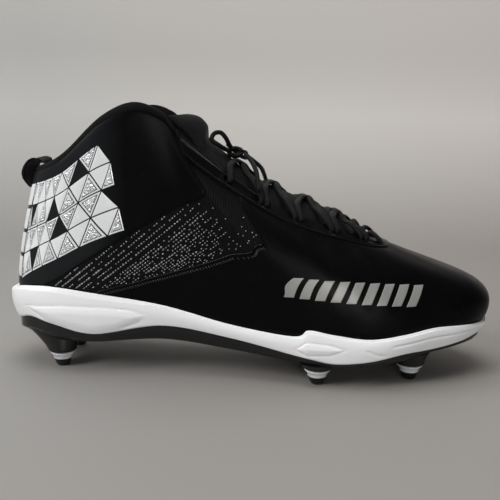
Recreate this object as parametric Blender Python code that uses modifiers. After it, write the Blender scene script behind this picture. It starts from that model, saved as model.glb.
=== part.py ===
# American football cleat, right shoe, mid height, standing on six screw-in studs.
# Metres. X runs from heel to toe, +Y is the medial side, Z is up, and the floor is z = 0.
import math

import bmesh
import bpy
from mathutils import Vector

# Driving sizes
LENGTH = 0.2985
BALL_WIDTH = 0.0985
HEEL_WIDTH = 0.071
STUD_LENGTH = 0.0095  # the bosses' lower faces above the floor
SOLE_RISE = 0.0425  # the heel's white rim above the bosses' lower faces
HEEL_RISE = 0.110  # the collar's back above the same level
COLLAR_RISE = 0.147  # the collar's highest point
INSTEP_RISE = 0.110  # the throat's edge where the lacing ends
WALL = 0.0028
CLEARANCE = 0.0003

# Sole
RIM_THICKNESS = 0.0016
PLATE_STEP = 0.0009
PLATE_LEDGE = 0.0012
LENS_RELIEF = 0.0011
INSOLE_THICKNESS = 0.0032
INSOLE_MARGIN = 0.0009

# Studs
BOSS_RADIUS = 0.0085
BOSS_DRAFT = 0.0022
BOSS_SINK = 0.0018
HEEL_BOSS_RISE = 0.0165  # the heel's bosses are wide at their upper ends and lean back and inwards
HEEL_BOSS_BACK = 0.0056
HEEL_BOSS_INWARD = 0.0025
HEEL_BOSS_REACH = 0.0185
HEEL_BOSS_WIDTH = 0.0105
FLANGE_RADIUS = 0.0076
FLANGE_WAIST = 0.0057
FLANGE_HEIGHT = 0.0044
FLANGE_EDGE = 0.0010
FLANGE_FALL = 0.0027
TIP_TOP_RADIUS = 0.0053
TIP_END_RADIUS = 0.0034
STUD_SIDES = 14

# Overlays and soft pieces
STAY_WIDTH = 0.0155
STAY_NOSE = 0.0075
STAY_THICKNESS = 0.0013
STAY_START = 8  # the row of the loop where the stay begins
COLLAR_BAND = 0.010  # the band left bare below the collar's edge
FILM_THICKNESS = 0.0007
SEAM_START = 5.5  # rows from the heel where the heel's film ends and the vamp's begins
SEAM_END = 10  # rows where the vamp's film steps up to the stay
SIDE_GAP = 0.012  # in rows, between the two films
LINING_THICKNESS = 0.0036
LINING_RISE = 0.0012
LINING_END = 7
TONGUE_CROWN = 0.0105
TONGUE_THICKNESS = 0.0028
TONGUE_PAD = 0.0085
TONGUE_TUCK = 0.0085
TONGUE_CLEARANCE = 0.0008
TAB_WIDTH = 0.021
TAB_THICKNESS = 0.0018
TAB_DROP = 0.013
TAB_RISE = 0.0065
TAB_LEAN = 0.35  # forward lean of the tab's top, and how much lower its corners are, as shares of the rise
TAB_ROUND = 0.25
HOLE_RADIUS = 0.0019
EYELET_INSET = 0.0062
EYELET_SPLIT = 0.0017  # from an eyelet's middle to the lace that arrives or leaves
LACE_RADIUS = 0.00135
LACE_LIFT = 0.0012
KNOT_SIZE = (0.0052, 0.0036, 0.0034)

# Mesh density
PER_ROW = 2
GRID_ROWS = 9

# The sole's outline and levels, from the heel's middle to the toe's middle.
# along: share of LENGTH. lateral and medial: [share of HEEL_WIDTH, share of BALL_WIDTH].
# belly, split, bed and rim: heights above the bosses' lower faces, as shares of SOLE_RISE.
# tuck and draft: how far the split and the belly lie inside the outline, as shares of BALL_WIDTH.
soleColumns = ("along", "lateral", "medial", "belly", "split", "bed", "rim", "tuck", "draft")
soleRows = (
    (0.000, (0.000, 0.000), (0.000, 0.000), 0.19, 0.39, 0.62, 0.850, 0.050, 0.150),
    (0.013, (0.197, 0.000), (0.183, 0.000), 0.19, 0.43, 0.62, 0.885, 0.047, 0.145),
    (0.0335, (0.338, 0.000), (0.324, 0.000), 0.19, 0.49, 0.62, 0.945, 0.040, 0.125),
    (0.067, (0.430, 0.000), (0.423, 0.000), 0.20, 0.54, 0.62, 0.985, 0.030, 0.100),
    (0.117, (0.486, 0.000), (0.472, 0.000), 0.20, 0.47, 0.61, 0.998, 0.020, 0.070),
    (0.201, (0.507, 0.000), (0.493, 0.000), 0.21, 0.355, 0.59, 0.930, 0.018, 0.050),
    (0.335, (0.500, 0.000), (0.437, 0.000), 0.27, 0.495, 0.58, 0.785, 0.018, 0.050),
    (0.469, (0.250, 0.211), (0.180, 0.155), 0.17, 0.365, 0.445, 0.555, 0.018, 0.048),
    (0.587, (0.000, 0.457), (0.000, 0.345), 0.075, 0.205, 0.335, 0.465, 0.018, 0.040),
    (0.621, (0.000, 0.480), (0.000, 0.392), 0.045, 0.165, 0.310, 0.570, 0.018, 0.034),
    (0.670, (0.000, 0.497), (0.000, 0.447), 0.050, 0.120, 0.280, 0.525, 0.018, 0.034),
    (0.737, (0.000, 0.503), (0.000, 0.490), 0.088, 0.170, 0.290, 0.480, 0.018, 0.040),
    (0.804, (0.000, 0.467), (0.000, 0.480), 0.130, 0.265, 0.350, 0.530, 0.018, 0.048),
    (0.868, (0.000, 0.392), (0.000, 0.438), 0.215, 0.295, 0.390, 0.595, 0.022, 0.057),
    (0.922, (0.000, 0.320), (0.000, 0.386), 0.250, 0.340, 0.425, 0.595, 0.030, 0.062),
    (0.962, (0.000, 0.234), (0.000, 0.305), 0.262, 0.385, 0.460, 0.580, 0.038, 0.062),
    (0.988, (0.000, 0.127), (0.000, 0.203), 0.258, 0.410, 0.470, 0.570, 0.038, 0.058),
    (1.000, (0.000, -0.035), (0.000, 0.035), 0.256, 0.415, 0.472, 0.565, 0.038, 0.058),
)

# The upper's sections, in the same order and number as the sole's rows.
# top: where the section meets the opening's edge along LENGTH. half: the opening's half width
# and mid: its middle, as shares of BALL_WIDTH. heel, collar, instep: the edge's height as shares
# of those rises. flare and low: the lower handle's lean out (share of BALL_WIDTH) and height.
# reach, swell and high: the upper handle's share of the run, its lean out and its drop.
upperColumns = ("top", "half", "mid", "heel", "collar", "instep",
                "flare", "low", "reach", "swell", "high")
upperRows = (
    (0.070, 0.000, 0.000, 0.990, 0.000, 0.000, 0.000, 0.35, 0.42, 0.000, 0.33),
    (0.077, 0.120, 0.000, 1.000, 0.000, 0.000, 0.002, 0.35, 0.42, 0.004, 0.33),
    (0.0965, 0.210, 0.000, 1.018, 0.000, 0.000, 0.006, 0.35, 0.40, 0.010, 0.33),
    (0.124, 0.275, -0.005, 0.525, 0.390, 0.000, 0.010, 0.35, 0.38, 0.012, 0.33),
    (0.157, 0.310, -0.010, 0.000, 0.827, 0.000, 0.012, 0.35, 0.35, 0.012, 0.33),
    (0.221, 0.326, -0.012, 0.000, 0.948, 0.000, 0.012, 0.34, 0.35, 0.012, 0.33),
    (0.281, 0.322, -0.012, 0.000, 1.003, 0.000, 0.014, 0.34, 0.36, 0.010, 0.33),
    (0.331, 0.300, -0.010, 0.000, 0.975, 0.000, 0.020, 0.34, 0.14, 0.018, 0.33),
    (0.357, 0.290, -0.010, 0.000, 0.915, 0.000, 0.030, 0.34, 0.07, 0.040, 0.31),
    (0.394, 0.272, -0.010, 0.000, 0.000, 1.132, 0.034, 0.36, 0.08, 0.065, 0.29),
    (0.447, 0.254, -0.010, 0.000, 0.000, 1.014, 0.036, 0.38, 0.16, 0.075, 0.27),
    (0.520, 0.244, -0.010, 0.000, 0.000, 0.868, 0.036, 0.40, 0.27, 0.075, 0.25),
    (0.591, 0.230, -0.008, 0.000, 0.000, 0.782, 0.036, 0.41, 0.38, 0.065, 0.31),
    (0.660, 0.205, -0.016, 0.000, 0.000, 0.722, 0.056, 0.44, 0.49, 0.050, 0.34),
    (0.708, 0.165, -0.024, 0.000, 0.000, 0.678, 0.096, 0.49, 0.63, 0.028, 0.39),
    (0.740, 0.105, -0.034, 0.000, 0.000, 0.652, 0.143, 0.55, 0.74, 0.012, 0.44),
    (0.754, 0.050, -0.040, 0.000, 0.000, 0.645, 0.166, 0.57, 0.79, 0.004, 0.45),
    (0.758, 0.000, -0.042, 0.000, 0.000, 0.644, 0.170, 0.58, 0.80, 0.000, 0.46),
)

# Studs: along as a share of LENGTH, side as a share of BALL_WIDTH (lateral is negative).
studRows = (
    ("heel_lateral", 0.1225, -0.193), ("heel_medial", 0.1225, 0.183),
    ("ball_lateral", 0.6385, -0.386), ("ball_medial", 0.660, 0.345),
    ("front_lateral", 0.826, -0.264), ("front_medial", 0.826, 0.274),
)

# The seam between the mesh quarter and the smooth skins: rows from the heel, share of INSTEP_RISE.
seamRows = ((0.0, 0.56), (3.0, 0.53), (4.5, 0.45), (5.5, 0.405), (6.0, 0.440), (7.0, 0.530),
            (8.0, 0.600), (9.0, 0.640), (10.0, 0.660))

last = len(soleRows) - 1
loopRows = 2 * last


def between(values, place):
    """Catmull-Rom through the values of a closed loop, at a place counted in rows."""
    row = math.floor(place)
    share = place - row
    a, b, c, d = (values[(row + step) % len(values)] for step in (-1, 0, 1, 2))
    return 0.5 * (2 * b + (c - a) * share + (2 * a - 5 * b + 4 * c - d) * share ** 2
                  + (3 * b - a - 3 * c + d) * share ** 3)


def aroundLoop(column):
    """Lateral rows from heel to toe, then medial rows back to the heel."""
    return [column(row, -1) for row in range(last + 1)] + [column(row, 1) for row in range(last - 1, 0, -1)]


def soleValue(name):
    spot = soleColumns.index(name)
    return aroundLoop(lambda row, side: soleRows[row][spot])


def upperValue(name):
    spot = upperColumns.index(name)
    return aroundLoop(lambda row, side: upperRows[row][spot])


def outlineSide(row, side):
    heel, ball = soleRows[row][1 if side < 0 else 2]
    return side * (heel * HEEL_WIDTH + ball * BALL_WIDTH)


along = soleValue("along")
across = aroundLoop(outlineSide)
levels = {name: soleValue(name) for name in ("belly", "split", "bed", "rim", "tuck", "draft")}
shape = {name: upperValue(name) for name in upperColumns}


def height(name, place):
    return STUD_LENGTH + SOLE_RISE * between(levels[name], place)


def outline(place, inset=0.0):
    """A point of the sole's outline in plan, moved in by the inset."""
    step = 0.02
    before, after = (Vector((between(along, place + s) * LENGTH, between(across, place + s), 0))
                     for s in (-step, step))
    middle = Vector((between(along, place) * LENGTH, between(across, place), 0))
    run = (after - before).normalized()
    inward = Vector((-run.y, run.x, 0))
    return middle + inward * inset


def handles(place):
    """The four control points of the upper's section at a place of the loop."""
    value = {name: between(shape[name], place) for name in upperColumns}
    side = between(across, place)
    sign = -1 if place % loopRows < last else 1
    foot = outline(place, footInset(place))
    foot.z = height("bed", place) + CLEARANCE
    top = Vector((value["top"] * LENGTH,
                  (sign * value["half"] + value["mid"]) * BALL_WIDTH,
                  STUD_LENGTH + value["heel"] * HEEL_RISE + value["collar"] * COLLAR_RISE
                  + value["instep"] * INSTEP_RISE))
    out = outline(place, -1.0) - outline(place)
    rise = top.z - foot.z
    run = Vector((foot.x - top.x, foot.y - top.y, 0))
    low = foot + out * value["flare"] * BALL_WIDTH + Vector((0, 0, value["low"] * rise))
    high = top + run * value["reach"] + out * value["swell"] * BALL_WIDTH
    high.z -= value["high"] * rise
    return foot, low, high, top


def footInset(place):
    """The upper's foot stands inside the rim, deeper where the heel's back leans in."""
    return 2 * RIM_THICKNESS + CLEARANCE + 0.5 * between(levels["tuck"], place) * BALL_WIDTH


def bezier(points, share):
    a, b, c, d = points
    rest = 1 - share
    return a * rest ** 3 + b * 3 * rest ** 2 * share + c * 3 * rest * share ** 2 + d * share ** 3


def upperPoint(place, share, offset=0.0):
    """The upper's outer surface, or a surface parallel to it."""
    point = bezier(handles(place), share)
    if offset == 0:
        return point
    step = 0.01
    low, high = max(share - step, 0), min(share + step, 1)
    rising = bezier(handles(place), high) - bezier(handles(place), low)
    going = bezier(handles(place + step), share) - bezier(handles(place - step), share)
    return point + going.cross(rising).normalized() * offset


def shareAtHeight(place, z):
    """The share of a section where its surface reaches a height."""
    low, high = 0.0, 1.0
    points = handles(place)
    for _ in range(24):
        middle = (low + high) / 2
        if bezier(points, middle).z < z:
            low = middle
        else:
            high = middle
    return low


def shareBelowEdge(place, distance):
    """The share of a section that lies a distance below the opening's edge, on the surface."""
    points = handles(place)
    steps = 60
    walked = 0.0
    before = points[3]
    for step in range(1, steps + 1):
        share = 1 - step / steps
        here = bezier(points, share)
        piece = (here - before).length
        if walked + piece >= distance:
            return share + (1 - (distance - walked) / piece) / steps
        walked += piece
        before = here
    return 0.0


def material(name, colour, roughness, metallic=0.0):
    made = bpy.data.materials.new(name)
    made.use_nodes = True
    shader = made.node_tree.nodes["Principled BSDF"]
    shader.inputs["Base Color"].default_value = (*colour, 1)
    shader.inputs["Roughness"].default_value = roughness
    shader.inputs["Metallic"].default_value = metallic
    return made


def meshObject(name, points, faces, look, group, smooth=True):
    """One closed solid, its faces turned outward."""
    mesh = bpy.data.meshes.new(name)
    mesh.from_pydata([tuple(p) for p in points], [], faces)
    work = bmesh.new()
    work.from_mesh(mesh)
    bmesh.ops.triangulate(work, faces=work.faces)
    bmesh.ops.recalc_face_normals(work, faces=work.faces)
    work.to_mesh(mesh)
    work.free()
    if smooth:
        mesh.shade_smooth()
        mesh.set_sharp_from_angle(angle=math.radians(40))
    mesh.materials.append(look)
    made = bpy.data.objects.new(name, mesh)
    group.objects.link(made)
    return made


def stripCap(ring, count, flip):
    """Closes a ring whose points face each other across the shoe."""
    faces = []
    for step in range(count // 2):
        a, b = step, step + 1
        c, d = (count - step - 1) % count, (count - step) % count
        face = [ring + a, ring + b, ring + c, ring + d]
        face = [v for spot, v in enumerate(face) if v not in face[:spot]]
        faces.append(face[::-1] if flip else face)
    return faces


def ringFaces(rings, count, closed):
    """Quads between rings of points, each ring closed on itself."""
    faces = []
    for ring in range(rings if closed else rings - 1):
        upper = (ring + 1) % rings
        for step in range(count):
            beside = (step + 1) % count
            faces.append([ring * count + step, ring * count + beside, upper * count + beside, upper * count + step])
    return faces


def patchFaces(columns, rows):
    """The skin of a bent slab: two grids of points, joined round their border."""
    grid = columns * rows
    faces = []
    for column in range(columns - 1):
        for row in range(rows - 1):
            a = column * rows + row
            quad = [a, a + rows, a + rows + 1, a + 1]
            faces.append(quad)
            faces.append([v + grid for v in quad[::-1]])
    border = [column * rows for column in range(columns)]
    border += [(columns - 1) * rows + row for row in range(1, rows)]
    border += [column * rows + rows - 1 for column in range(columns - 2, -1, -1)]
    border += list(range(rows - 2, 0, -1))
    for spot, a in enumerate(border):
        b = border[(spot + 1) % len(border)]
        faces.append([a, b, b + grid, a + grid])
    return faces


def loopPlaces():
    return [step / PER_ROW for step in range(loopRows * PER_ROW)]


def fromHeel(place):
    """How far a place of the loop lies from the heel's middle, in rows, on either side."""
    place %= loopRows
    return place if place <= last else loopRows - place


def alongTable(table, spot):
    """Straight runs through a short table of pairs, held at its ends."""
    if spot <= table[0][0]:
        return table[0][1]
    for (a, low), (b, high) in zip(table, table[1:]):
        if spot <= b:
            return low + (high - low) * (spot - a) / (b - a)
    return table[-1][1]


def gridShare(place, row):
    """The share of a section at a row of the grid that the upper and its overlays have in common.

    Row 1 is at the rim, row 4 on the seam, row 7 on the eyestay's border and row 9 on the edge.
    """
    fromEnd = fromHeel(place)
    nose = min(1.0, (last - fromEnd) / 3.2)
    width = STAY_NOSE + (STAY_WIDTH - STAY_NOSE) * nose ** 1.5
    width += (COLLAR_BAND - STAY_WIDTH) * min(1.0, max(0.0, (8.5 - fromEnd) / 1.5))
    foot = shareAtHeight(place, height("rim", place) + 0.0006)
    stay = shareBelowEdge(place, width)
    seam = shareAtHeight(place, STUD_LENGTH + INSTEP_RISE * alongTable(seamRows, fromEnd))
    blend = min(1.0, max(0.0, fromEnd - SEAM_END))
    seam += (foot + (stay - foot) * 0.45 - seam) * blend
    knots = (0.0, foot, seam, stay, 1.0)
    stops = (0, 1, 4, 7, GRID_ROWS)
    for low, high, start, end in zip(stops, stops[1:], knots, knots[1:]):
        if row <= high:
            return start + (end - start) * (row - low) / (high - low)
    return 1.0


def gridPoint(column, row, offset, placeNudge=0.0, rowNudge=0.0):
    """A point parallel to the upper on the common grid, nudged along it in metres."""
    place = column / PER_ROW
    foot, low, high, top = handles(place)
    share = gridShare(place, row) + rowNudge / (top - foot).length
    return upperPoint(place + placeNudge, min(1.0, share), offset)


def slab(name, cells, inner, outer, look, group, nudge=lambda column, row: (0.0, 0.0)):
    """A skin on the upper, made of cells of the common grid, with walls round its border."""
    spots, points, faces = {}, [], []

    def corner(column, row, side):
        key = (column, row, side)
        if key not in spots:
            spots[key] = len(points)
            points.append(gridPoint(column, row, outer if side else inner, *nudge(column, row)))
        return spots[key]

    for column, row in sorted(cells):
        ring = ((column, row), (column + 1, row), (column + 1, row + 1), (column, row + 1))
        for side in (0, 1):
            faces.append([corner(*spot, side) for spot in (ring if side else ring[::-1])])
        beside = ((column, row - 1), (column + 1, row), (column, row + 1), (column - 1, row))
        for spot, neighbour in enumerate(beside):
            if neighbour not in cells:
                a, b = ring[spot], ring[(spot + 1) % 4]
                faces.append([corner(*a, 0), corner(*b, 0), corner(*b, 1), corner(*a, 1)])
    return meshObject(name, points, faces, look, group)


def upper(look, group):
    """The hollow upper: outer skin, rounded lip, inner skin, and a flat foot inside the cup."""
    columns = range(loopRows * PER_ROW)
    rows = range(GRID_ROWS + 1)
    rings = [[gridPoint(column, row, 0.0) for column in columns] for row in rows]
    lip = []
    for column in columns:
        middle = gridPoint(column, GRID_ROWS, -WALL / 2)
        middle.z += 0.25 * WALL
        lip.append(middle)
    rings.append(lip)
    for row in rows[::-1]:
        rings.append([gridPoint(column, row, -WALL) for column in columns])
    for column, point in enumerate(rings[-1]):
        point.z = rings[0][column].z
    faces = ringFaces(len(rings), len(columns), True)
    return meshObject("upper", [p for ring in rings for p in ring], faces, look, group)


# The raised shapes on the white side: middle and half length as shares of LENGTH, middle and half
# height as shares of the side, and how full their ends are (one is a plain point).
reliefShapes = {
    "lens": (0.235, 0.165, 0.36, 0.34, 0.5),
    "diamond": (0.655, 0.100, 0.50, 0.50, 1.0),
}


def relief(place, share):
    """The raised lens at the heel and the raised diamond at the ball, on the rim's outer side."""
    x = between(along, place)
    height = 0.0
    for middle, reach, level, half, full in reliefShapes.values():
        run = max(0.0, 1 - abs(x - middle) / reach) ** full
        rise = max(0.0, 1 - abs(share - level) / half) ** 0.5
        height = max(height, min(1.0, 2 * run * rise))
    return LENS_RELIEF * height


def midsole(look, group):
    """The white cup: bottom, stepped outer side, rim round the upper, inner wall and footbed."""
    places = loopPlaces()
    rings = []
    for share in (0.0, 0.10, 0.30, 0.50, 0.70, 0.88):
        ring = []
        for place in places:
            rim, split = height("rim", place), height("split", place)
            tuck = between(levels["tuck"], place) * BALL_WIDTH * (1 - share) ** 2
            top = (share ** 3) * RIM_THICKNESS * 0.9
            side = 1 if share > 0 else 0
            point = outline(place, tuck + top + (1 - side) * 0.0008 - relief(place, share))
            point.z = split + (rim - split) * share
            ring.append(point)
        rings.append(ring)
    for offset, drop in ((CLEARANCE + RIM_THICKNESS, 0.0006), (CLEARANCE + 0.45 * RIM_THICKNESS, 0.0)):
        rings.append([upperPoint(p, shareAtHeight(p, height("rim", p) - drop), offset) for p in places])
    rings.append([upperPoint(p, shareAtHeight(p, height("rim", p) - 0.0007), CLEARANCE) for p in places])
    for share in (0.55, 0.0):
        ring = []
        for place in places:
            bed = height("bed", place)
            z = bed + CLEARANCE + (height("rim", place) - bed) * share
            point = upperPoint(place, shareAtHeight(place, z), CLEARANCE)
            if share == 0:
                point.z = bed
            ring.append(point)
        rings.append(ring)
    count = len(places)
    faces = ringFaces(len(rings), count, False)
    faces += stripCap(0, count, True)
    faces += stripCap((len(rings) - 1) * count, count, False)
    return meshObject("midsole", [p for ring in rings for p in ring], faces, look, group)


def boolean(target, other, operation):
    """Applies an exact Boolean and removes the other object."""
    modifier = target.modifiers.new("join", "BOOLEAN")
    modifier.operation = operation
    modifier.solver = "EXACT"
    modifier.object = other
    bpy.context.view_layer.update()
    result = bpy.data.meshes.new_from_object(target.evaluated_get(bpy.context.evaluated_depsgraph_get()))
    target.modifiers.clear()
    target.data = result
    bpy.data.objects.remove(other)


def boss(name, low, high, look, group):
    """A tapered boss between two ovals, each given as x, y, z, half length and half width."""
    points = []
    for x, y, z, reach, wide in (low, high):
        for side in range(STUD_SIDES):
            turn = 2 * math.pi * side / STUD_SIDES
            points.append(Vector((x + reach * math.cos(turn), y + wide * math.sin(turn), z)))
    faces = ringFaces(2, STUD_SIDES, False)
    faces += [list(range(STUD_SIDES))[::-1], list(range(STUD_SIDES, 2 * STUD_SIDES))]
    return meshObject(name, points, faces, look, group)


def studSpots():
    return [(name, share * LENGTH, side * BALL_WIDTH) for name, share, side in studRows]


def bellyAt(x):
    """The plate's lower face at a distance from the heel, read between the lateral rows."""
    for row in range(last):
        low, high = soleRows[row][0] * LENGTH, soleRows[row + 1][0] * LENGTH
        if low <= x <= high:
            share = (x - low) / (high - low)
            return height("belly", row + share)
    return height("belly", last)


def outsole(look, group):
    """The black plate with a ledge along its side and a boss over each stud."""
    places = loopPlaces()
    rings = []
    for share, step, lift in ((0.0, 0.0, 0.0), (0.50, 1.0, 0.0), (0.50, 0.0, 0.0006), (1.0, 0.0, 0.0)):
        ring = []
        for place in places:
            belly, split = height("belly", place), height("split", place) - CLEARANCE
            tuck = between(levels["tuck"], place) * BALL_WIDTH + PLATE_STEP
            draft = between(levels["draft"], place) * BALL_WIDTH + PLATE_LEDGE
            ledge = PLATE_LEDGE * step
            point = outline(place, draft + (tuck - draft) * (1 if share > 0.4 else 0) + ledge)
            point.z = belly + (split - belly) * share + lift
            ring.append(point)
        rings.append(ring)
    count = len(places)
    faces = ringFaces(len(rings), count, False)
    faces += stripCap(0, count, True)
    faces += stripCap((len(rings) - 1) * count, count, False)
    plate = meshObject("outsole", [p for ring in rings for p in ring], faces, look, group)
    for name, x, y in studSpots():
        low = (x, y, STUD_LENGTH, BOSS_RADIUS, BOSS_RADIUS)
        if name.startswith("heel"):
            inward = -HEEL_BOSS_INWARD if y > 0 else HEEL_BOSS_INWARD
            high = (x - HEEL_BOSS_BACK, y + inward, STUD_LENGTH + HEEL_BOSS_RISE, HEEL_BOSS_REACH, HEEL_BOSS_WIDTH)
        else:
            wide = BOSS_RADIUS + BOSS_DRAFT
            high = (x, y, bellyAt(x) + BOSS_SINK, wide, wide)
        boolean(plate, boss("boss_" + name, low, high, look, group), "UNION")
    return plate


def studs(look, group):
    """Each stud is turned from one profile: a flared flange, a waist and a tapered tip."""
    top = STUD_LENGTH - CLEARANCE
    waist = top - FLANGE_HEIGHT
    profile = [(0, top), (FLANGE_RADIUS, top), (FLANGE_RADIUS, top - FLANGE_EDGE),
               (FLANGE_WAIST, top - FLANGE_FALL), (FLANGE_WAIST, waist),
               (TIP_TOP_RADIUS, waist), (TIP_END_RADIUS, 0), (0, 0)]
    for name, x, y in studSpots():
        mesh = bpy.data.meshes.new("stud_" + name)
        mesh.from_pydata([(r, 0, z) for r, z in profile], [(i, i + 1) for i in range(len(profile) - 1)], [])
        mesh.materials.append(look)
        stud = bpy.data.objects.new("stud_" + name, mesh)
        stud.location = (x, y, 0)
        turn = stud.modifiers.new("turn", "SCREW")
        turn.steps = turn.render_steps = STUD_SIDES
        turn.use_merge_vertices = True
        turn.merge_threshold = 0.00005
        turn.use_smooth_shade = True
        group.objects.link(stud)


def insole(look, group):
    """A flat sock on the footbed, inside the upper's wall."""
    places = loopPlaces()
    margin = WALL + CLEARANCE + INSOLE_MARGIN
    rings = []
    for lift, extra in ((CLEARANCE, 0.0), (INSOLE_THICKNESS * 0.75, 0.0), (INSOLE_THICKNESS, 0.0012)):
        ring = []
        for place in places:
            point = outline(place, footInset(place) + margin + extra)
            point.z = height("bed", place) + lift
            ring.append(point)
        rings.append(ring)
    count = len(places)
    faces = ringFaces(len(rings), count, False)
    faces += stripCap(0, count, True)
    faces += stripCap((len(rings) - 1) * count, count, False)
    return meshObject("insole", [p for ring in rings for p in ring], faces, look, group)


def eyestay(look, group):
    """The raised stay round the throat, narrow at its rounded nose."""
    start = STAY_START * PER_ROW
    cells = {(column, row) for column in range(start, loopRows * PER_ROW - start) for row in (7, 8)}

    def nudge(column, row):
        return 0.0, (CLEARANCE if row == 7 else 0.0)

    return slab("eyestay", cells, CLEARANCE, CLEARANCE + STAY_THICKNESS, look, group, nudge)


def vampFilm(look, group):
    """The smooth skin over vamp and toe: below the seam, then up to the eyestay."""
    start, full = SEAM_START * PER_ROW, SEAM_END * PER_ROW
    whole = loopRows * PER_ROW
    cells = set()
    for column in range(int(start), int(whole - start)):
        low = full <= column < whole - full
        cells |= {(column, row) for row in range(1, 7 if low else 4)}

    def nudge(column, row):
        side = 1 if column == start else -1 if column == whole - start else 0
        return side * SIDE_GAP, (-CLEARANCE if row == 7 else 0.0)

    return slab("vamp_film", cells, CLEARANCE, CLEARANCE + FILM_THICKNESS, look, group, nudge)


def counterFilm(look, group):
    """The smooth skin round the heel, from the rim to just below the collar's edge."""
    half = int(SEAM_START * PER_ROW)
    cells = {(column, row) for column in range(-half, half) for row in range(1, 7)}

    def nudge(column, row):
        side = 1 if column == -half else -1 if column == half else 0
        return side * SIDE_GAP, 0.0

    return slab("heel_counter", cells, CLEARANCE, CLEARANCE + FILM_THICKNESS, look, group, nudge)


def collarLining(look, group):
    """The padded band inside the collar, thinner towards its ends and its lower edge."""
    half = int(LINING_END * PER_ROW)
    rows = range(5, GRID_ROWS + 1)
    gap = WALL + CLEARANCE
    inside, outside = [], []
    for column in range(-half, half + 1):
        fade = min(1.0, 0.35 + (half - abs(column)) / 4)
        for row in rows:
            rise = Vector((0, 0, LINING_RISE if row == GRID_ROWS else 0))
            pad = LINING_THICKNESS * fade * (0.35, 0.8, 1.0, 0.9, 0.45)[row - 5]
            outside.append(gridPoint(column, row, -gap) + rise)
            inside.append(gridPoint(column, row, -gap - pad) + rise)
    return meshObject("collar_lining", inside + outside, patchFaces(2 * half + 1, len(rows)), look, group)


def pullTab(look, group):
    """The short tab at the back of the collar, standing just above its edge."""
    half = TAB_WIDTH / 2
    base = 2 * CLEARANCE + FILM_THICKNESS
    inside, outside = [], []
    columns = 5
    for step in range(columns):
        y = half * (2 * step / (columns - 1) - 1)
        place = (-y / (0.12 * BALL_WIDTH)) % loopRows
        for drop in (TAB_DROP, TAB_DROP * 0.5, 0.0):
            share = shareBelowEdge(place, drop) if drop else 1.0
            inside.append(upperPoint(place, share, base))
            outside.append(upperPoint(place, share, base + TAB_THICKNESS))
        lean = Vector((TAB_LEAN * TAB_RISE, 0, TAB_RISE * (1 - TAB_ROUND * abs(y / half))))
        inside.append(inside[-1] + lean)
        outside.append(outside[-1] + lean)
    return meshObject("pull_tab", inside + outside, patchFaces(columns, 4), look, group)


# The tongue's sections under the throat: place in rows and share of TONGUE_CROWN.
tongueRows = ((14.8, 0.12), (14.0, 0.64), (13.0, 1.08), (12.0, 1.18), (11.5, 1.20), (11.0, 1.18), (10.5, 1.10),
              (10.0, 1.06), (9.5, 1.08))
# Its front sections under the vamp, from the side to the middle: place in rows and distance
# from the throat's edge as a share of TONGUE_TUCK.
tongueFront = (
    ((15.3, 1.15), (15.8, 1.10), (16.2, 1.05), (16.6, 1.0), (17.0, 1.0)),
    ((14.9, 1.00), (15.4, 0.35), (16.0, 0.16), (16.5, 0.12), (17.0, 0.12)),
)
# The sections of its padded top, as shares of LENGTH, BALL_WIDTH and COLLAR_RISE: the middle's
# x and z, the sides' x, y and z, and the pad as a share of TONGUE_PAD.
tongueTop = (
    (0.410, 0.927, 0.393, 0.200, 0.872, 0.55),
    (0.392, 0.963, 0.368, 0.200, 0.925, 1.00),
    (0.368, 0.972, 0.342, 0.195, 0.965, 0.75),
)
TONGUE_ACROSS = (-1.0, -0.72, -0.42, 0.0, 0.42, 0.72, 1.0)
TONGUE_SIDE = 1.25  # the sides below the stays, on the same scale
PAD_THINNING = 0.65  # how much thinner the pad is at its sides
tongueUnder = Vector((-0.35, 0, -0.93))  # from the sheet's top to its underside
tongueBack = Vector((-0.86, 0, -0.50))  # from the pad's front to its back


def throatPoint(row, across, depth, crown):
    """A point on the arch over the throat, from its lateral edge (-1) to its medial edge (1)."""
    lateral = upperPoint(row, 1.0, -depth)
    medial = upperPoint(loopRows - row, 1.0, -depth)
    point = lateral.lerp(medial, (across + 1) / 2)
    point.z += crown * (1 - abs(across) ** 2.2)
    return point


def crownAt(row):
    return TONGUE_CROWN * alongTable(sorted(tongueRows), row)


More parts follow.
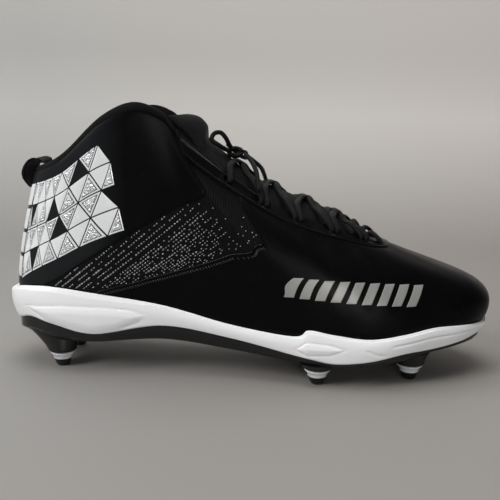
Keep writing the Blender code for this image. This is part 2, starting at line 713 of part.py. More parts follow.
def tongue(look, group):
    """A padded sheet under the throat, tucked below the stays, with a thicker top."""
    depth = WALL + TONGUE_CLEARANCE
    tops, unders = [], []
    for section in tongueFront:
        spots = [*section, *((loopRows - place, far) for place, far in section[-2::-1])]
        spots = [(place, shareBelowEdge(place, far * TONGUE_TUCK)) for place, far in spots]
        tops.append([upperPoint(place, share, -depth) for place, share in spots])
        unders.append([upperPoint(place, share, -depth - TONGUE_THICKNESS) for place, share in spots])
    for row, crown in tongueRows:
        sides = []
        for place in (row, loopRows - row):
            share = shareBelowEdge(place, TONGUE_TUCK)
            sides.append((upperPoint(place, share, -depth), upperPoint(place, share, -depth - TONGUE_THICKNESS)))
        drop = tongueUnder * TONGUE_THICKNESS
        over, below = [sides[0][0]], [sides[0][1]]
        for across in TONGUE_ACROSS:
            point = throatPoint(row, across, depth, crown * TONGUE_CROWN)
            over.append(point)
            below.append(throatPoint(row, across, depth + TONGUE_THICKNESS, 0) if abs(across) == 1 else point + drop)
        tops.append([*over, sides[1][0]])
        unders.append([*below, sides[1][1]])
    reach = (-TONGUE_SIDE, *TONGUE_ACROSS, TONGUE_SIDE)
    for x, z, sideX, sideY, sideZ, pad in tongueTop:
        middle = Vector((x * LENGTH, 0, STUD_LENGTH + z * COLLAR_RISE))
        row = []
        for across in reach:
            turn = across / TONGUE_SIDE
            bend = turn ** 2
            row.append(Vector((middle.x + (sideX * LENGTH - middle.x) * bend, turn * sideY * BALL_WIDTH,
                               middle.z + (STUD_LENGTH + sideZ * COLLAR_RISE - middle.z) * bend)))
        tops.append(row)
        unders.append([point + tongueBack * TONGUE_PAD * pad * (1 - PAD_THINNING * (across / TONGUE_SIDE) ** 2)
                       for point, across in zip(row, reach)])
    points = [p for column in tops + unders for p in column]
    return meshObject("tongue", points, patchFaces(len(tops), len(reach)), look, group)


def tube(name, points, radius, look, group):
    """A cord of round section along a smooth run of points."""
    curve = bpy.data.curves.new(name, "CURVE")
    curve.dimensions = "3D"
    curve.bevel_depth = radius
    curve.bevel_resolution = 2
    curve.use_fill_caps = True
    spline = curve.splines.new("POLY")
    spline.points.add(len(points) - 1)
    for spot, point in zip(spline.points, points):
        spot.co = (*point, 1)
    curve.materials.append(look)
    made = bpy.data.objects.new(name, curve)
    group.objects.link(made)
    return made


def solidTube(name, points, radius, look, group):
    """The same cord as a welded mesh, so that it can be joined to another."""
    made = tube(name, points, radius, look, group)
    bpy.context.view_layer.update()
    mesh = bpy.data.meshes.new_from_object(made.evaluated_get(bpy.context.evaluated_depsgraph_get()))
    work = bmesh.new()
    work.from_mesh(mesh)
    bmesh.ops.remove_doubles(work, verts=work.verts, dist=0.00001)
    bmesh.ops.recalc_face_normals(work, faces=work.faces)
    work.to_mesh(mesh)
    work.free()
    bpy.data.objects.remove(made)
    solid = bpy.data.objects.new(name, mesh)
    group.objects.link(solid)
    return solid


def smoothRow(points, per):
    """Catmull-Rom through points, with the ends held."""
    full = [points[0] * 2 - points[1], *points, points[-1] * 2 - points[-2]]
    made = []
    for spot in range(1, len(full) - 2):
        for step in range(per):
            share = step / per
            a, b, c, d = full[spot - 1:spot + 3]
            made.append(0.5 * (2 * b + (c - a) * share + (2 * a - 5 * b + 4 * c - d) * share ** 2
                               + (3 * b - a - 3 * c + d) * share ** 3))
    made.append(points[-1])
    return made


# The eyelets' places in rows, from the lowest pair to the highest.
eyeletRows = (15.1, 13.9, 12.8, 11.8, 10.9, 10.0)


def eyelet(row, side, lift):
    """A point over the line of eyelets, at a place in rows."""
    place = row if side < 0 else loopRows - row
    return upperPoint(place, shareBelowEdge(place, EYELET_INSET), lift)


def edgeRows(row, distance):
    """How many rows a distance along the throat's edge makes."""
    step = 0.1
    return distance * 2 * step / (handles(row + step)[3] - handles(row - step)[3]).length


def laceCrossings(look, group):
    """Between two pairs of eyelets the lace crosses itself: each crossing is one solid."""
    over = CLEARANCE + STAY_THICKNESS + LACE_LIFT + LACE_RADIUS
    for number in range(len(eyeletRows) - 1):
        pieces = []
        low = eyeletRows[number] - edgeRows(eyeletRows[number], EYELET_SPLIT)
        high = eyeletRows[number + 1] + edgeRows(eyeletRows[number + 1], EYELET_SPLIT)
        for side in (-1, 1):
            stack = LACE_RADIUS * (0.35 if side > 0 else 0.0)
            route = [eyelet(low, side, over)]
            for across in (0.86, 0.5, 0.22, -0.22, -0.5, -0.86):
                row = (low + high) / 2 + (low - high) / 2 * across
                point = throatPoint(row, side * across, -over if abs(across) > 0.6 else 0.0, crownAt(row))
                if abs(across) < 0.6:
                    point.z += LACE_LIFT + LACE_RADIUS + stack - WALL - TONGUE_CLEARANCE
                else:
                    point.z -= 0.06 * crownAt(row)
                route.append(point)
            route.append(eyelet(high, -side, over))
            pieces.append(solidTube(f"lace_{number}_{side}", route, LACE_RADIUS, look, group))
        boolean(pieces[0], pieces[1], "UNION")
        pieces[0].name = f"lace_crossing_{number + 1}"


# The knot's middle as shares of LENGTH and COLLAR_RISE, and the free laces' routes from it in
# metres: x towards the toe, y to the medial side, z up.
KNOT_ALONG = 0.467
KNOT_RISE = 0.822
freeLaces = {
    "lace_loop_lateral": ((-0.0025, -0.0032, 0.0025), (-0.0055, -0.0065, 0.0085), (-0.0085, -0.0075, 0.0115),
                          (-0.0120, -0.0085, 0.0110), (-0.0135, -0.0100, 0.0075), (-0.0095, -0.0110, 0.0045),
                          (-0.0032, -0.0066, 0.0006)),
    "lace_loop_medial": ((-0.0021, 0.0037, 0.0022), (-0.0050, 0.0110, 0.0040), (-0.0040, 0.0190, 0.0025),
                         (0.0010, 0.0260, -0.0025), (0.0060, 0.0240, -0.0045), (0.0060, 0.0155, -0.0010),
                         (0.0035, 0.0075, 0.0002)),
    "lace_end_lateral": ((0.0062, -0.0040, -0.0012), (0.0092, -0.0090, -0.0036), (0.0118, -0.0160, -0.0070),
                         (0.0137, -0.0235, -0.0118), (0.0150, -0.0310, -0.0205)),
    "lace_end_medial": ((0.0058, 0.0012, -0.0012), (0.0120, 0.0080, -0.0062), (0.0158, 0.0165, -0.0102),
                        (0.0178, 0.0250, -0.0148), (0.0195, 0.0315, -0.0205)),
}


def knotAndEnds(look, group):
    """The knot, its two loops and the two free ends."""
    knot = Vector((KNOT_ALONG * LENGTH, 0, STUD_LENGTH + KNOT_RISE * COLLAR_RISE))
    work = bmesh.new()
    bmesh.ops.create_uvsphere(work, u_segments=10, v_segments=7, radius=1.0)
    bmesh.ops.scale(work, verts=work.verts, vec=KNOT_SIZE)
    bmesh.ops.translate(work, verts=work.verts, vec=knot)
    mesh = bpy.data.meshes.new("lace_knot")
    work.to_mesh(mesh)
    work.free()
    mesh.materials.append(look)
    mesh.shade_smooth()
    group.objects.link(bpy.data.objects.new("lace_knot", mesh))
    for name, route in freeLaces.items():
        tube(name, smoothRow([knot + Vector(step) for step in route], 2), LACE_RADIUS, look, group)


def cutHoles(targets, look, group):
    """Round lace holes through upper and eyestay, square to their surface."""
    for row in eyeletRows:
        for side in (-1, 1):
            outer, inner = eyelet(row, side, 2 * WALL), eyelet(row, side, -1.4 * WALL)
            run = outer - inner
            for target in targets:
                work = bmesh.new()
                bmesh.ops.create_cone(work, cap_ends=True, segments=8, radius1=HOLE_RADIUS,
                                      radius2=HOLE_RADIUS, depth=run.length)
                mesh = bpy.data.meshes.new("hole")
                work.to_mesh(mesh)
                work.free()
                cutter = bpy.data.objects.new("hole", mesh)
                cutter.rotation_mode = "QUATERNION"
                cutter.rotation_quaternion = Vector((0, 0, 1)).rotation_difference(run)
                cutter.location = (outer + inner) / 2
                group.objects.link(cutter)
                bpy.context.view_layer.update()
                boolean(target, cutter, "DIFFERENCE")


def centre(group):
    """Carries every piece on an empty, so that the origin is below the middle of the sole."""
    corners = [Vector(v.co) for name in ("midsole", "vamp_film") for v in bpy.data.objects[name].data.vertices]
    middle = [(min(c[axis] for c in corners) + max(c[axis] for c in corners)) / 2 for axis in (0, 1)]
    carrier = bpy.data.objects.new("carrier", None)
    carrier.location = (-middle[0], -middle[1], 0)
    pieces = list(group.objects)
    group.objects.link(carrier)
    for piece in pieces:
        piece.parent = carrier


def build():
    for item in list(bpy.data.objects):
        bpy.data.objects.remove(item)
    group = bpy.data.collections.new("american_football_cleat")
    bpy.context.scene.collection.children.link(group)
    cutters = bpy.data.collections.new("cutters")
    bpy.context.scene.collection.children.link(cutters)

    mesh = material("black mesh", (0.012, 0.012, 0.013), 0.5)
    film = material("black film", (0.010, 0.010, 0.011), 0.32)
    charcoal = material("charcoal film", (0.030, 0.031, 0.034), 0.35)
    white = material("white rubber", (0.80, 0.81, 0.83), 0.4)
    plate = material("black plastic", (0.012, 0.012, 0.013), 0.22)
    flange = material("pale plastic", (0.62, 0.64, 0.66), 0.3)
    textile = material("black textile", (0.014, 0.014, 0.014), 0.8)
    cord = material("black cord", (0.016, 0.016, 0.017), 0.6)

    body = upper(mesh, group)
    midsole(white, group)
    outsole(plate, group)
    insole(textile, group)
    tongue(textile, group)
    stay = eyestay(film, group)
    vampFilm(film, group)
    counterFilm(charcoal, group)
    collarLining(textile, group)
    pullTab(textile, group)
    studs(flange, group)
    cutHoles((body, stay), mesh, cutters)
    laceCrossings(cord, group)
    knotAndEnds(cord, group)
    centre(group)


build()
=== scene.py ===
# A right american football cleat on a pale floor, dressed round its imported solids.
# Lengths are metres. Tables are in the shoe's own frame: x from the heel, z from the floor.
import math

import bmesh
import bpy
import numpy as np
from mathutils import Matrix, Vector


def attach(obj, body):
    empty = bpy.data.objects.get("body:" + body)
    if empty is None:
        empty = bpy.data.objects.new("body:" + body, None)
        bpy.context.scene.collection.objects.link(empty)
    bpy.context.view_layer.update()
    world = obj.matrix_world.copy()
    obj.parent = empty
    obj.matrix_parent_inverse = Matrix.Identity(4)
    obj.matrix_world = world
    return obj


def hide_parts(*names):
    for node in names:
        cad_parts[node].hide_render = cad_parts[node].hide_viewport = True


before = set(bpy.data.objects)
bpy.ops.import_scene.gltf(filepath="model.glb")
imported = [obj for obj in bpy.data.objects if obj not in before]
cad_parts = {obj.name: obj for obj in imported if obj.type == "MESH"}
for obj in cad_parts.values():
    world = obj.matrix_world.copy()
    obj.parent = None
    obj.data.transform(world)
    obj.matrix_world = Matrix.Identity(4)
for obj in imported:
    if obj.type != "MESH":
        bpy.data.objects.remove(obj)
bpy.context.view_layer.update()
bpy.ops.object.select_all(action="DESELECT")
print("frame loaded")

shoe = {
    "length": 0.2985,
    "ballWidth": 0.0985,
    "heelWidth": 0.071,
    "studLength": 0.0095,
    "soleRise": 0.0425,
    "heelRise": 0.110,
    "collarRise": 0.147,
    "instepRise": 0.110,
    "wall": 0.0028,
    "clearance": 0.0003,
    "rim": 0.0016,
    "shift": (-0.14985, 0.00101, 0.0),
}

# The sole's outline and levels: along, lateral (heel, ball), medial (heel, ball), belly, split,
# bed, rim, tuck, draft.
soleRows = np.array((
    (0.000, 0.000, 0.000, 0.000, 0.000, 0.19, 0.39, 0.62, 0.850, 0.050, 0.150),
    (0.013, 0.197, 0.000, 0.183, 0.000, 0.19, 0.43, 0.62, 0.885, 0.047, 0.145),
    (0.0335, 0.338, 0.000, 0.324, 0.000, 0.19, 0.49, 0.62, 0.945, 0.040, 0.125),
    (0.067, 0.430, 0.000, 0.423, 0.000, 0.20, 0.54, 0.62, 0.985, 0.030, 0.100),
    (0.117, 0.486, 0.000, 0.472, 0.000, 0.20, 0.47, 0.61, 0.998, 0.020, 0.070),
    (0.201, 0.507, 0.000, 0.493, 0.000, 0.21, 0.355, 0.59, 0.930, 0.018, 0.050),
    (0.335, 0.500, 0.000, 0.437, 0.000, 0.27, 0.495, 0.58, 0.785, 0.018, 0.050),
    (0.469, 0.250, 0.211, 0.180, 0.155, 0.17, 0.365, 0.445, 0.555, 0.018, 0.048),
    (0.587, 0.000, 0.457, 0.000, 0.345, 0.075, 0.205, 0.335, 0.465, 0.018, 0.040),
    (0.621, 0.000, 0.480, 0.000, 0.392, 0.045, 0.165, 0.310, 0.570, 0.018, 0.034),
    (0.670, 0.000, 0.497, 0.000, 0.447, 0.050, 0.120, 0.280, 0.525, 0.018, 0.034),
    (0.737, 0.000, 0.503, 0.000, 0.490, 0.088, 0.170, 0.290, 0.480, 0.018, 0.040),
    (0.804, 0.000, 0.467, 0.000, 0.480, 0.130, 0.265, 0.350, 0.530, 0.018, 0.048),
    (0.868, 0.000, 0.392, 0.000, 0.438, 0.215, 0.295, 0.390, 0.595, 0.022, 0.057),
    (0.922, 0.000, 0.320, 0.000, 0.386, 0.250, 0.340, 0.425, 0.595, 0.030, 0.062),
    (0.962, 0.000, 0.234, 0.000, 0.305, 0.262, 0.385, 0.460, 0.580, 0.038, 0.062),
    (0.988, 0.000, 0.127, 0.000, 0.203, 0.258, 0.410, 0.470, 0.570, 0.038, 0.058),
    (1.000, 0.000, -0.035, 0.000, 0.035, 0.256, 0.415, 0.472, 0.565, 0.038, 0.058),
))

# The upper's sections: top, half, mid, heel, collar, instep, flare, low, reach, swell, high.
upperRows = np.array((
    (0.070, 0.000, 0.000, 0.990, 0.000, 0.000, 0.000, 0.35, 0.42, 0.000, 0.33),
    (0.077, 0.120, 0.000, 1.000, 0.000, 0.000, 0.002, 0.35, 0.42, 0.004, 0.33),
    (0.0965, 0.210, 0.000, 1.018, 0.000, 0.000, 0.006, 0.35, 0.40, 0.010, 0.33),
    (0.124, 0.275, -0.005, 0.525, 0.390, 0.000, 0.010, 0.35, 0.38, 0.012, 0.33),
    (0.157, 0.310, -0.010, 0.000, 0.827, 0.000, 0.012, 0.35, 0.35, 0.012, 0.33),
    (0.221, 0.326, -0.012, 0.000, 0.948, 0.000, 0.012, 0.34, 0.35, 0.012, 0.33),
    (0.281, 0.322, -0.012, 0.000, 1.003, 0.000, 0.014, 0.34, 0.36, 0.010, 0.33),
    (0.331, 0.300, -0.010, 0.000, 0.975, 0.000, 0.020, 0.34, 0.14, 0.018, 0.33),
    (0.357, 0.290, -0.010, 0.000, 0.915, 0.000, 0.030, 0.34, 0.07, 0.040, 0.31),
    (0.394, 0.272, -0.010, 0.000, 0.000, 1.132, 0.034, 0.36, 0.08, 0.065, 0.29),
    (0.447, 0.254, -0.010, 0.000, 0.000, 1.014, 0.036, 0.38, 0.16, 0.075, 0.27),
    (0.520, 0.244, -0.010, 0.000, 0.000, 0.868, 0.036, 0.40, 0.27, 0.075, 0.25),
    (0.591, 0.230, -0.008, 0.000, 0.000, 0.782, 0.036, 0.41, 0.38, 0.065, 0.31),
    (0.660, 0.205, -0.016, 0.000, 0.000, 0.722, 0.056, 0.44, 0.49, 0.050, 0.34),
    (0.708, 0.165, -0.024, 0.000, 0.000, 0.678, 0.096, 0.49, 0.63, 0.028, 0.39),
    (0.740, 0.105, -0.034, 0.000, 0.000, 0.652, 0.143, 0.55, 0.74, 0.012, 0.44),
    (0.754, 0.050, -0.040, 0.000, 0.000, 0.645, 0.166, 0.57, 0.79, 0.004, 0.45),
    (0.758, 0.000, -0.042, 0.000, 0.000, 0.644, 0.170, 0.58, 0.80, 0.000, 0.46),
))
seamRows = np.array(((0.0, 0.56), (3.0, 0.53), (4.5, 0.45), (5.5, 0.405), (6.0, 0.440), (7.0, 0.530),
                     (8.0, 0.600), (9.0, 0.640), (10.0, 0.660)))
studSpots = {"heel_lateral": (0.1225, -0.193), "heel_medial": (0.1225, 0.183),
             "ball_lateral": (0.6385, -0.386), "ball_medial": (0.660, 0.345),
             "front_lateral": (0.826, -0.264), "front_medial": (0.826, 0.274)}
# The eyestay; toe, side and collar are its widths along the throat, inset the eyelets' distance in.
stay = {"start": 8.0, "columns": 420, "rows": 30, "thick": 0.0013, "rolled": 0.0005, "hole": 0.0021,
        "inset": 0.0062, "toe": 0.0075, "side": 0.0155, "collar": 0.010}
lastRow = len(soleRows) - 1
loopRows = 2 * lastRow
shift = np.array(shoe["shift"])


def aroundLoop(lateral, medial):
    return np.concatenate([lateral, medial[-2:0:-1]])


acrossLoop = aroundLoop(-(soleRows[:, 1] * shoe["heelWidth"] + soleRows[:, 2] * shoe["ballWidth"]),
                        soleRows[:, 3] * shoe["heelWidth"] + soleRows[:, 4] * shoe["ballWidth"])
alongLoop = aroundLoop(soleRows[:, 0], soleRows[:, 0]) * shoe["length"]
levelLoops = {name: aroundLoop(soleRows[:, 5 + spot], soleRows[:, 5 + spot])
              for spot, name in enumerate(("belly", "split", "bed", "rim", "tuck", "draft"))}
upperLoops = {name: aroundLoop(upperRows[:, spot], upperRows[:, spot])
              for spot, name in enumerate(("top", "half", "mid", "heel", "collar", "instep",
                                           "flare", "low", "reach", "swell", "high"))}


def spline(a, b, c, d, share):
    # a smooth curve from b to c, with its slopes from a and d
    return 0.5 * (2 * b + (c - a) * share + (2 * a - 5 * b + 4 * c - d) * share ** 2
                  + (3 * b - a - 3 * c + d) * share ** 3)


def between(values, place):
    # a smooth closed curve through the values, read at a place counted in rows
    place = np.asarray(place, float)
    row = np.floor(place).astype(int)
    return spline(*(values[(row + step) % len(values)] for step in (-1, 0, 1, 2)), place - row)


def level(name, place):
    return shoe["studLength"] + shoe["soleRise"] * between(levelLoops[name], place)


def insetOf(name, place):
    return between(levelLoops[name], place) * shoe["ballWidth"]


def footInset(place):
    # how far inside the sole's outline the upper meets the bed
    return 2 * shoe["rim"] + shoe["clearance"] + 0.5 * insetOf("tuck", place)


def outline(place, inset=0.0, z=0.0):
    step = 0.02
    run = np.stack([between(alongLoop, place + step) - between(alongLoop, place - step),
                    between(acrossLoop, place + step) - between(acrossLoop, place - step)], -1)
    run /= np.linalg.norm(run, axis=-1, keepdims=True)
    x = between(alongLoop, place) - run[..., 1] * inset
    y = between(acrossLoop, place) + run[..., 0] * inset
    return np.stack([x, y, np.broadcast_to(z, x.shape)], -1)


def handles(place):
    # the four control points of the upper's section at each place
    value = {name: between(loop, place) for name, loop in upperLoops.items()}
    sign = np.where(place % loopRows < lastRow, -1, 1)
    foot = outline(place, footInset(place), level("bed", place) + shoe["clearance"])
    top = np.stack([value["top"] * shoe["length"], (sign * value["half"] + value["mid"]) * shoe["ballWidth"],
                    shoe["studLength"] + value["heel"] * shoe["heelRise"]
                    + value["collar"] * shoe["collarRise"]
                    + value["instep"] * shoe["instepRise"]], -1)
    out = outline(place, -1.0) - outline(place)
    rise = top[..., 2] - foot[..., 2]
    low = foot + out * (value["flare"] * shoe["ballWidth"])[..., None]
    low[..., 2] += value["low"] * rise
    high = top + (foot - top) * value["reach"][..., None] * (1, 1, 0)
    high += out * (value["swell"] * shoe["ballWidth"])[..., None]
    high[..., 2] -= value["high"] * rise
    return foot, low, high, top


def bezier(points, share):
    a, b, c, d = points
    share = np.asarray(share)[..., None]
    rest = 1 - share
    return a * rest ** 3 + b * 3 * rest ** 2 * share + c * 3 * rest * share ** 2 + d * share ** 3


def slope(points, share):
    a, b, c, d = points
    share = np.asarray(share)[..., None]
    rest = 1 - share
    return (b - a) * 3 * rest ** 2 + (c - b) * 6 * rest * share + (d - c) * 3 * share ** 2


def onUpper(place, share, offset=0.0):
    # points on the upper or beside it, and the outward normal, for arrays of one shape
    place, share, offset = np.broadcast_arrays(np.asarray(place, float), share, offset)
    point = bezier(handles(place), share)
    step = 0.02
    rising = slope(handles(place), share)
    going = bezier(handles(place + step), share) - bezier(handles(place - step), share)
    normal = np.cross(going, rising)
    normal /= np.maximum(np.linalg.norm(normal, axis=-1, keepdims=True), 1e-12)
    return point + normal * offset[..., None], normal


def fromHeel(place):
    place = np.asarray(place, float) % loopRows
    return np.where(place <= lastRow, place, loopRows - place)


def sections(places, count):
    # evenly spread shares, and the upper's points at them for each place
    shares = np.linspace(0, 1, count)
    return shares, bezier([h[:, None] for h in handles(places)], shares[None])


def runAlong(points):
    # the distance along the points from the first to each
    return np.concatenate([[0], np.cumsum(np.linalg.norm(np.diff(points, axis=0), axis=-1))])


def lengthsUp(section):
    length = np.zeros(section.shape[:2])
    length[:, 1:] = np.cumsum(np.linalg.norm(np.diff(section, axis=1), axis=-1), axis=1)
    return length


def gridKnots(place):
    # shares of the section at the rim, on the seam and on the stay's border, one row for each place
    place = np.asarray(place, float)
    fromEnd = fromHeel(place)
    nose = np.minimum(1, (lastRow - fromEnd) / 3.2)
    width = stay["toe"] + (stay["side"] - stay["toe"]) * nose ** 1.5
    width += (stay["collar"] - stay["side"]) * np.clip((8.5 - fromEnd) / 1.5, 0, 1)
    shares, section = sections(place, 121)
    length = lengthsUp(section)
    rim = level("rim", place) + 0.0006
    seamLevel = shoe["studLength"] + shoe["instepRise"] * np.interp(fromEnd, seamRows[:, 0], seamRows[:, 1])
    knots = np.zeros((len(place), 5))
    for spot in range(len(place)):
        rising = np.maximum.accumulate(section[spot, :, 2])
        knots[spot, 1] = np.interp(rim[spot], rising, shares)
        knots[spot, 2] = np.interp(seamLevel[spot], rising, shares)
        knots[spot, 3] = np.interp(length[spot, -1] - width[spot], length[spot], shares)
    knots[:, 4] = 1
    blend = np.clip(fromEnd - 10, 0, 1)
    knots[:, 2] += (knots[:, 1] + (knots[:, 3] - knots[:, 1]) * 0.45 - knots[:, 2]) * blend
    return knots, length[:, -1]


def gridShare(place, row):
    # the share at rows of the common grid: 0 foot, 1 rim, 4 seam, 7 stay, 9 edge
    knots, length = gridKnots(place)
    stops = (0, 1, 4, 7, 9)
    row = np.broadcast_to(row, (len(knots), np.shape(row)[-1]))
    share = np.stack([np.interp(line, stops, knot) for line, knot in zip(row, knots)])
    return share, length


sidePlaces = np.linspace(0, lastRow, 18 * 8 + 1)
sideShares, sidePoints = sections(sidePlaces, 81)


def spotOnSide(x, z):
    # the place and share of the lateral side seen at x from the heel and z above the floor
    gap = np.hypot(sidePoints[..., 0] - x, sidePoints[..., 2] - z)
    column, row = np.unravel_index(np.argmin(gap), gap.shape)
    place, share = sidePlaces[column], sideShares[row]
    for _ in range(12):
        here = bezier(handles(np.array([place])), np.array([share]))[0]
        byPlace = (bezier(handles(np.array([place + 0.02])), np.array([share]))[0] - here) / 0.02
        byShare = slope(handles(np.array([place])), np.array([share]))[0]
        grid = np.array([[byPlace[0], byShare[0]], [byPlace[2], byShare[2]]])
        if abs(np.linalg.det(grid)) < 1e-12:
            break
        move = np.linalg.solve(grid, np.array([x - here[0], z - here[2]]))
        place += float(np.clip(move[0], -0.3, 0.3))
        share = float(np.clip(share + np.clip(move[1], -0.1, 0.1), 0, 1))
    return place, share


def spotsOnSide(line):
    # the same for a line of points in millimetres
    return np.array([spotOnSide(x / 1000, z / 1000) for x, z in line])


def mirrored(spots):
    # the same places on the medial side
    return [np.array((loopRows - place, share)) for place, share in spots]


def newMesh(name, points, faces, material, uv=None, smooth=True, angle=None):
    mesh = bpy.data.meshes.new(name)
    mesh.from_pydata((np.asarray(points).reshape(-1, 3) + shift).tolist(), [], faces)
    if uv is not None:
        layer = mesh.uv_layers.new(name="surface")
        corners = np.zeros(len(mesh.loops), np.int32)
        mesh.loops.foreach_get("vertex_index", corners)
        layer.data.foreach_set("uv", np.asarray(uv, np.float32).reshape(-1, 2)[corners].ravel())
    mesh.materials.append(material)
    if smooth:
        mesh.shade_smooth()
    if angle:
        mesh.set_sharp_from_angle(angle=math.radians(angle))
    made = bpy.data.objects.new(name, mesh)
    bpy.context.scene.collection.objects.link(made)
    return made


def gridFaces(columns, rows, closed=False, first=0, turned=False):
    faces = []
    for column in range(columns if closed else columns - 1):
        beside = (column + 1) % columns
        for row in range(rows - 1):
            quad = (first + column * rows + row, first + beside * rows + row,
                    first + beside * rows + row + 1, first + column * rows + row + 1)
            faces.append(quad[::-1] if turned else quad)
    return faces


def shellFaces(columns, rows, closed=False):
    # an outer grid of points, the inner grid that follows it, and the walls between them
    grid = columns * rows
    faces = gridFaces(columns, rows, closed) + gridFaces(columns, rows, closed, grid, True)
    if closed:
        rings = [[column * rows for column in range(columns)],
                 [column * rows + rows - 1 for column in range(columns)][::-1]]
    else:
        ring = [column * rows for column in range(columns)]
        ring += [(columns - 1) * rows + row for row in range(1, rows)]
        ring += [column * rows + rows - 1 for column in range(columns - 2, -1, -1)]
        ring += list(range(rows - 2, 0, -1))
        rings = [ring]
    for ring in rings:
        for spot, a in enumerate(ring):
            b = ring[(spot + 1) % len(ring)]
            faces.append((b, a, a + grid, b + grid))
    return faces


def smoothStep(low, high, value):
    share = np.clip((value - low) / (high - low), 0, 1)
    return share * share * (3 - 2 * share)


def ridge(distance, width):
    # a round ridge of height one across a line
    return np.exp(-(distance / width) ** 2)


def shareAtLevel(places, z):
    shares, section = sections(places, 121)
    z = np.broadcast_to(z, places.shape)
    return np.array([np.interp(here, np.maximum.accumulate(line), shares)
                     for here, line in zip(z, section[..., 2])])


# Materials
def put(tree, kind, inputs=None, **settings):
    node = tree.nodes.new(kind)
    for name, value in settings.items():
        setattr(node, name, value)
    for name, value in (inputs or {}).items():
        if isinstance(value, bpy.types.NodeSocket):
            tree.links.new(value, node.inputs[name])
        else:
            node.inputs[name].default_value = value
    return node


def maths(tree, operation, first, second=0.0, third=0.0):
    return put(tree, "ShaderNodeMath", {0: first, 1: second, 2: third}, operation=operation).outputs[0]


def stretch(tree, value, low, high, fromLow=0.0, fromHigh=1.0):
    inputs = {"Value": value, "From Min": fromLow, "From Max": fromHigh, "To Min": low, "To Max": high}
    return put(tree, "ShaderNodeMapRange", inputs, clamp=True).outputs[0]


def mixColours(tree, share, first, second):
    node = put(tree, "ShaderNodeMix", data_type="RGBA")
    for socket, value in ((node.inputs[0], share), (node.inputs[6], first), (node.inputs[7], second)):
        if isinstance(value, bpy.types.NodeSocket):
            tree.links.new(value, socket)
        else:
            socket.default_value = (*value, 1) if isinstance(value, tuple) else value
    return node.outputs[2]


def newGroup(name, inputs, outputs):
    group = bpy.data.node_groups.new(name, "ShaderNodeTree")
    for label, value in inputs.items():
        kind = "NodeSocketVector" if value is None else "NodeSocketFloat"
        socket = group.interface.new_socket(label, in_out="INPUT", socket_type=kind)
        if value is not None:
            socket.default_value = value
    for label in outputs:
        group.interface.new_socket(label, in_out="OUTPUT", socket_type="NodeSocketFloat")
    return group, group.nodes.new("NodeGroupInput").outputs, group.nodes.new("NodeGroupOutput").inputs


def makeGrainGroup():
    # pebbled film: small cells broken by noise, and a slow cloud for gloss
    group, given, out = newGroup("filmGrain", {"Vector": None, "Scale": 1.0}, ("Height", "Cloud"))
    cells = put(group, "ShaderNodeTexVoronoi", {"Vector": given["Vector"], "Scale": given["Scale"]},
                feature="SMOOTH_F1")
    fine = put(group, "ShaderNodeTexNoise",
               {"Vector": given["Vector"], "Scale": given["Scale"], "Detail": 3.0})
    slow = maths(group, "MULTIPLY", given["Scale"], 0.03)
    cloud = put(group, "ShaderNodeTexNoise", {"Vector": given["Vector"], "Scale": slow, "Detail": 2.0})
    height = maths(group, "MULTIPLY_ADD", cells.outputs["Distance"], 0.7, fine.outputs["Fac"])
    group.links.new(height, out["Height"])
    group.links.new(cloud.outputs["Fac"], out["Cloud"])
    return group


def makeWeaveGroup():
    # threads crossing at a pitch, read from surface coordinates in metres; Gap marks their low gaps, where
    # the cloth gets painted shade
    inputs = {"Vector": None, "Pitch": 0.001, "Slant": 0.0}
    group, given, out = newGroup("threadWeave", inputs, ("Height", "Gap"))
    parts = put(group, "ShaderNodeSeparateXYZ", {"Vector": given["Vector"]})
    turn = maths(group, "DIVIDE", 2 * math.pi, given["Pitch"])
    along = maths(group, "MULTIPLY_ADD", parts.outputs["Y"], given["Slant"], parts.outputs["X"])
    u = maths(group, "SINE", maths(group, "MULTIPLY", along, turn))
    v = maths(group, "SINE", maths(group, "MULTIPLY", parts.outputs["Y"], turn))
    weave = maths(group, "MULTIPLY_ADD", maths(group, "MULTIPLY", u, v), 0.5, 0.5)
    group.links.new(weave, out["Height"])
    group.links.new(maths(group, "LESS_THAN", weave, 0.16), out["Gap"])
    return group


def makeWearGroup():
    # faint dust and rubbed patches
    group, given, out = newGroup("faintWear", {"Vector": None, "Scale": 1.0}, ("Dust", "Rub"))
    dust = put(group, "ShaderNodeTexNoise", {"Vector": given["Vector"],
                                             "Scale": given["Scale"], "Detail": 8.0,
                                             "Roughness": 0.7})
    rub = put(group, "ShaderNodeTexNoise", {"Vector": given["Vector"], "Scale": maths(group, "MULTIPLY",
                                            given["Scale"], 0.2), "Detail": 3.0})
    group.links.new(stretch(group, dust.outputs["Fac"], 0, 1, 0.55, 0.8), out["Dust"])
    group.links.new(stretch(group, rub.outputs["Fac"], 0, 1, 0.4, 0.7), out["Rub"])
    return group


grainGroup, weaveGroup, wearGroup = makeGrainGroup(), makeWeaveGroup(), makeWearGroup()


sockets = {"specular": "Specular IOR Level", "coat": "Coat Weight", "coatRough": "Coat Roughness",
           "sheen": "Sheen Weight", "metal": "Metallic", "clear": "Transmission Weight"}


def newMaterial(name, colour, roughness, **fixed):
    material = bpy.data.materials.new(name)
    material.use_nodes = True
    tree = material.node_tree
    shader = tree.nodes["Principled BSDF"]
    shader.inputs["Base Color"].default_value = (*colour, 1)
    shader.inputs["Roughness"].default_value = roughness
    for short, value in fixed.items():
        shader.inputs[sockets[short]].default_value = value
    material.diffuse_color = (*colour, 1)
    return material, tree, shader


def useGroup(tree, group, **inputs):
    return put(tree, "ShaderNodeGroup", inputs, node_tree=group).outputs


def finishMaterial(tree, shader, colour, roughness, height, depth):
    tree.links.new(colour, shader.inputs["Base Color"])
    tree.links.new(roughness, shader.inputs["Roughness"])
    bump = put(tree, "ShaderNodeBump", {"Height": height, "Distance": depth, "Strength": 1.0})
    tree.links.new(bump.outputs["Normal"], shader.inputs["Normal"])


